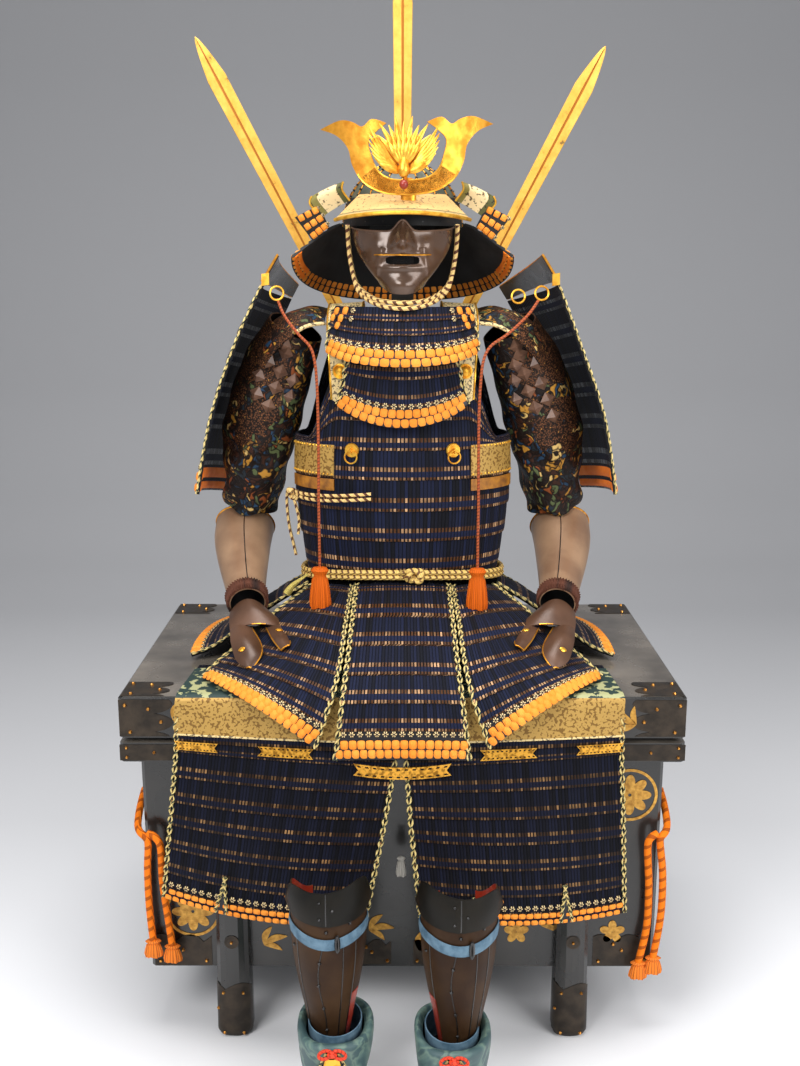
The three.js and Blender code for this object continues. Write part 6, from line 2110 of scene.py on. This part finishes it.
strap_gilt = finish("gilt copper, pierced edge", dotted_gilt, Metallic=0.7, Roughness=0.38)
straps = []
GREEN_FOOT, LEATHER_FOOT = 1.8 / 6, 3.62 / 6
for side, face in (("left", THIGH_LEFT), ("right", THIGH_RIGHT)):
    over = lifted(face, 4.6)
    shell(f"thigh_{side}_green", part_of(over, 0, 1, 0.03, GREEN_FOOT), [],
          [green_leather, dark_lining_and_painted_shade], 24, 12, 1.0)
    shell(f"thigh_{side}_gold", part_of(over, 0, 1, GREEN_FOOT, LEATHER_FOOT), [],
          [gold_leather, dark_lining_and_painted_shade], 24, 16, 1.0)
    line = over(np.linspace(0, 1, 40), np.full(40, LEATHER_FOOT))
    joined(f"thigh_{side}_piping", [swept(line, 1.8, 6, (0, 1, 0.1))], [plain_cream])
    spans = ((0.0, 0.2), (0.38, 0.63)) if side == "left" else ((0.34, 0.6), (0.78, 1.0))
    for u0, u1 in spans:
        cut = swallow(lifted(face, 5.0), u0, u1, 3.78 / 6, 3.98 / 6)
        straps.append(plate(cut, 16, 6, 1.0, 0.5))


def middle_strap(u, v):
    """The long strap below the front panel, bowed forward in the middle."""
    return stack(mix(-82, 82, u), -349 - 6 * (1 - (2 * u - 1) ** 2),
                 mix(549, 528, v) - 5 * (1 - (2 * u - 1) ** 2))


cut = swallow(middle_strap, 0, 1, 0, 1, 0.1)
straps.append(plate(cut, 24, 6, 1.0, 0.5))
joined("thigh_straps", straps, [strap_gilt])

# %% [markdown]
# ### Slits in the hem
#
# The hem is split over the leg. A dark wedge stands for the gap, with cords along both sides.

# %% Slits in the hem
def slit(face, u, v_head, half):
    """An opening in a board's foot: a dark wedge that widens to the foot."""
    return lambda a, v: face(u + (2 * a - 1) * half * (0.06 + v), mix(v_head, 0.999, v))


for side, face, cuts in (("left", THIGH_LEFT, ((0.30, 0.93),)),
                         ("right", THIGH_RIGHT, ((0.70, 0.93), (0.27, 0.95)))):
    over = lifted(face, 4.4)
    wedges = [slit(over, u, v_head, 0.035) for u, v_head in cuts]
    dark = [plate(one, 6, 8, 0.6, 0.5) for one in wedges]
    laces = [edge_cords(one, [0.02, 0.98], lift=1.4, pitch=26.0, spread=2.4, radius=1.4) for one in wedges]
    joined(f"thigh_{side}_slits", dark + laces, [hem_ground, edge_cord],
           [0] * len(dark) + [1] * len(laces))
white_silk = finish("silk threads, white", threads("#cfcac0", "#8f8a80", 10.0), Roughness=0.6)
joined("middle_tassel", [tassel(column([-2, -322, 366]), 36, 8)], [white_silk])
print("thigh leather done")

# %% [markdown]
# ## Arm details
#
# Small leather pyramids are sewn to the upper sleeve. The forearm guard has a seam down its
# front with a riveted lozenge, a gilt edge at the elbow and a fringe at the wrist.

# %% Pyramids and forearm fittings
def pyramids(face, u, v, width, rise):
    """Square pyramids: four corners on the face and a point rise above the middle."""
    u, v = np.broadcast_arrays(column(u).ravel(), column(v).ravel())
    centre = face(u, v)
    outward = normals(face, u, v)
    along = unit(face(u + 1e-3, v) - face(u - 1e-3, v))
    down = unit(np.cross(outward, along))
    ring = [(-1, 0), (0, 1), (1, 0), (0, -1)]
    corners = [centre + along * (width / 2 * a) + down * (width / 2 * b) for a, b in ring]
    top = centre + outward * rise
    points = np.stack(corners + [top, centre - outward * 2], 1)
    one = np.array([[1, 0, 4], [2, 1, 4], [3, 2, 4], [0, 3, 4], [0, 1, 5], [1, 2, 5], [2, 3, 5], [3, 0, 5]])
    faces = (one[None] + (np.arange(len(centre)) * 6)[:, None, None]).reshape(-1, 3)
    return points.reshape(-1, 3), faces, np.zeros((len(centre) * 6, 2))


pyramid_leather = finish("brown leather, lacquered", plain("#5f4335", "#7d5c49", 60, (0.3, 0.45), 0.2, 400),
                         Coat_Weight=0.3, Coat_Roughness=0.3)
wrist_fringe = finish("russet silk fringe", threads("#5a2f1c", "#2b150c", 20.0), Roughness=0.8)
PYRAMIDS = {
    "left": [[0.979, 0.074], [0.00, 0.107], [0.946, 0.174], [0.013, 0.194], [0.08, 0.217], [0.93, 0.25],
             [0.017, 0.268], [0.09, 0.291], [0.95, 0.32], [0.013, 0.351]],
    "right": [[0.999, 0.07], [0.0, 0.117], [0.043, 0.154], [0.017, 0.201], [0.07, 0.221], [0.09, 0.304],
              [0.949, 0.181], [0.962, 0.268], [0.027, 0.281], [0.962, 0.341], [0.02, 0.358], [0.959, 0.421]]}
for side, built in (("left", as_built), ("right", mirrored)):
    arm = built(lifted(tube(SLEEVE), 1.0))
    where = column(PYRAMIDS[side])
    turn = where[:, 0] if side == "left" else 1 - where[:, 0]
    studs = pyramids(arm, np.clip(turn, 0.002, 0.998), where[:, 1], 29, 11)
    joined(f"sleeve_{side}_pyramids", [studs], [pyramid_leather])
    guard = built(tube(FOREARM))
    line_v = np.linspace(0.03, 0.97, 40)
    front = np.full(40, 0.02 if side == "left" else 0.98)
    seam = swept(guard(front, line_v) + normals(guard, front, line_v) * 0.3, 0.9, 6, (1, 0, 0))
    cuff_u = np.linspace(0, 1, 72, endpoint=False)
    edging = swept(guard(cuff_u, np.full(72, 0.004)), 1.9, 6, (0, 0.3, 1), looped=True)
    lozenge = pyramids(guard, [front[0]], [0.14], 34, 1.6)
    joined(f"forearm_{side}_seam", [seam], [black_lacquer])
    # the lozenge shares the lightened forearm russet, painted highlight
    joined(f"forearm_{side}_lozenge", [lozenge], [forearm_russet_painted_highlight])
    studs = pillows(guard, front[0] + column([0.0, 0.0, 0.02, -0.02]) * (1 if side == "left" else -1) % 1,
                    [0.09, 0.19, 0.14, 0.14], 4, 4, 2.6, lift=1.2, square=0.9, cells=3)
    joined(f"forearm_{side}_studs", [studs], [black_lacquer])
    joined(f"forearm_{side}_edging", [edging], [gilt])
    waves = relieved(guard, lambda u, v: 3.5 + 2.5 * np.sin(2 * np.pi * 46 * u) * np.sin(24 * v))
    hem = part_of(waves, 0, 1, 0.86, 1)
    shell(f"forearm_{side}_fringe", hem, [], [wrist_fringe], 144, 10, 3.0, wrap=True)
    edges = []
    arch = np.linspace(0.42, 0.68, 20) if side == "left" else np.linspace(0.32, 0.58, 20)
    edges.append(swept(built(HAND)(arch, np.ones(20)), 1.3, 6, (0, 0.3, 1)))
    inner, outer = ("right", "left") if side == "left" else ("left", "right")
    for flap, rim in ((OUTER_LOBE, inner), (OUTER_LOBE, "foot"), (THUMB_LOBE, outer), (THUMB_LOBE, "foot"),
                      (THUMB_LOBE, inner)):
        edges.append(swept(edge_line(built(flap), rim, 0.2, 24), 1.3, 6, (0, 0.3, 1)))
    joined(f"hand_{side}_edging", edges, [gilt])
    at = (0.3, 0.6) if side == "left" else (0.7, 0.4)
    moons = [pillows(built(lobe), [u], [v], 13, 9, 1.2, lift=1.0, square=0.9)
             for lobe, u, v in ((OUTER_LOBE, at[0], 0.55), (THUMB_LOBE, at[1], 0.22))]
    joined(f"hand_{side}_moon", moons, [bright_gilt])

# %% [markdown]
# ## Leg details
#
# A red lacquered panel shows on the inside of each shin. A gilt tongue stands in the boot's
# opening, tied with a red cord.

# %% Leg fittings
red_cord = finish("silk cord, scarlet", two_tone_cord("#e8401c", "#b82a10", 6.0), Roughness=0.6)
for side, x, y, boot_x in LEGS:
    face = shin_face(x, y)
    u0, u1 = (0.665, 0.74) if side == "left" else (0.26, 0.335)
    panel = part_of(lifted(face, 0.9), u0, u1, 0.64, 0.97)
    shell(f"shin_{side}_panel", panel, [], [red_lacquer], 8, 20, 1.0)
    knee = knee_face(x, y, 1 if side == "left" else -1)
    crease = swept(knee(np.full(24, 0.5), np.linspace(0.03, 0.97, 24)), 1.0, 6, (1, 0, 0))
    knee_rivets = pillows(knee, [0.46, 0.46, 0.54], [0.25, 0.75, 0.5], 5, 5, 2.0, lift=0.6, square=0.9)
    tie = np.linspace(0, 2 * np.pi, 30, endpoint=False)
    knot_at = face(column([0.555]), column([0.24]))[0] + [0, -5, 0]
    loop = swept(knot_at + stack(2.2 * np.sin(tie), 0.6 * np.cos(tie), 13 * np.cos(tie)), 2.4, 6,
                 (0, 1, 0.1), looped=True)
    joined(f"shin_{side}_tie", [crease, loop, knee_rivets], [black_lacquer])

# %% [markdown]
# ### Tongues and bows
#
# The boot opens in front over a dark gap with piped lips. A gilt tongue stands in it and a red
# cord is tied in a bow above, two loops and a band.

# %% Gilt tongues and bows
for side, x, y, boot_x in LEGS:
    tongue_x, tongue_y = boot_x, y - 86
    gap_face = hung(out=[0, -1, 0], rungs=[
        [tongue_x - 9, tongue_y - 11, 164, tongue_x + 9, tongue_y - 11, 164, 2],
        [tongue_x - 22, tongue_y - 6, 130, tongue_x + 22, tongue_y - 6, 130, 6],
        [tongue_x - 32, tongue_y - 6, 92, tongue_x + 32, tongue_y - 6, 92, 12]])
    shell(f"boot_{side}_opening", gap_face, [], [dark_lining_and_painted_shade], 12, 16, 1.0)
    lips = [swept(edge_line(gap_face, edge, 1.0, 30), 2.2, 6, (0, 1, 0.1)) for edge in ("left", "right")]
    joined(f"boot_{side}_opening_edge", lips, [edge_cord])
    plate_face = hung(out=[0, -1, 0], rungs=[
        [tongue_x - 10, tongue_y - 16, 158, tongue_x + 10, tongue_y - 16, 158, 4],
        [tongue_x - 14, tongue_y - 18, 140, tongue_x + 14, tongue_y - 18, 140, 5],
        [tongue_x - 16, tongue_y - 24, 92, tongue_x + 16, tongue_y - 24, 92, 5]])
    shell(f"boot_{side}_tongue", plate_face, [], [bright_gilt], 12, 20, 1.6)
    bow_at = column([tongue_x, tongue_y - 16, 164])
    t = np.linspace(0, 2 * np.pi, 30, endpoint=False)
    bows = [swept(bow_at + stack(sign * (11 + 10 * np.cos(t)), 3 * np.sin(t), 5 * np.sin(t) - 2 * np.cos(t)),
                  2.6, 8, (0, 1, 0.1), looped=True) for sign in (-1, 1)]
    bows.append(swept(bow_at + stack(5 * np.cos(t), 4 * np.sin(t), 0 * t), 3.2, 8, (0, 0, 1), looped=True))
    joined(f"boot_{side}_bow", bows, [red_cord])
print("leg fittings done")

# %% [markdown]
# ## Floor and light
#
# The armour stands before a pale paper that bends up far behind it. A key lamp from the front
# left, a weaker fill from the right and a lamp above give soft shadows under the skirt.

# %% Floor and light
def floor():
    """A pale floor that bends up into a pale wall far behind; its paper greys with distance as painted
    shade.
    """
    u = np.linspace(-1, 1, 3) * 6000
    run = np.array([[-3500, 0], [2500, 0], [3000, 60], [3400, 300], [3600, 800], [3600, 5000]], float)
    points = stack(u[None, :], run[:, :1], run[:, 1:])
    return piece("studio_floor", points, grid(5, 2)[:, ::-1], [floor_paper_painted_shade])


def graded_paper(t):
    """White under the armour, greyer with the distance back and up the wall: painted shade where the light
    falls off.
    """
    place = node(t, "SeparateXYZ", node(t, "TexCoord", out="Object"))
    run = node(t, "Math", place.node.outputs[1], place.node.outputs[2], operation="ADD")
    share = node(t, "MapRange", run, -0.6, 6.0, 0.0, 1.0)
    return {"Base Color": node(t, "ValToRGB", share, stops=[
        [0.0, "#f6f6f7"], [0.09, "#ececee"], [0.2, "#d4d4d6"], [0.45, "#c4c4c6"], [0.65, "#b4b4b6"],
        [1.0, "#a2a2a4"]])}


floor_paper_painted_shade = finish("matt paper, white to grey as painted shade", graded_paper, Roughness=0.95)
floor()


def lamp(name, place, aim, size, power, tint="#ffffff"):
    """A soft square lamp at a place, turned to face a point."""
    light = bpy.data.lights.new(name, "AREA")
    light.size = size
    light.energy = power
    light.color = linear(tint)[:3]
    made = bpy.data.objects.new(name, light)
    start, end = to_frame([place, aim])
    made.location = start
    made.rotation_euler = Vector(end - start).to_track_quat("-Z", "Y").to_euler()
    bpy.context.collection.objects.link(made)
    return made


lamp("key", (-1500, -2300, 2600), (0, 0, 900), 1.4, 58)
lamp("fill", (1900, -1900, 1700), (0, 0, 800), 1.6, 42)
lamp("top", (0, -300, 3200), (0, 0, 900), 1.6, 60)
world = bpy.data.worlds.new("studio")
bpy.context.scene.world = world
world.use_nodes = True
world.node_tree.nodes["Background"].inputs["Color"].default_value = linear("#e8eaee")
world.node_tree.nodes["Background"].inputs["Strength"].default_value = 0.5
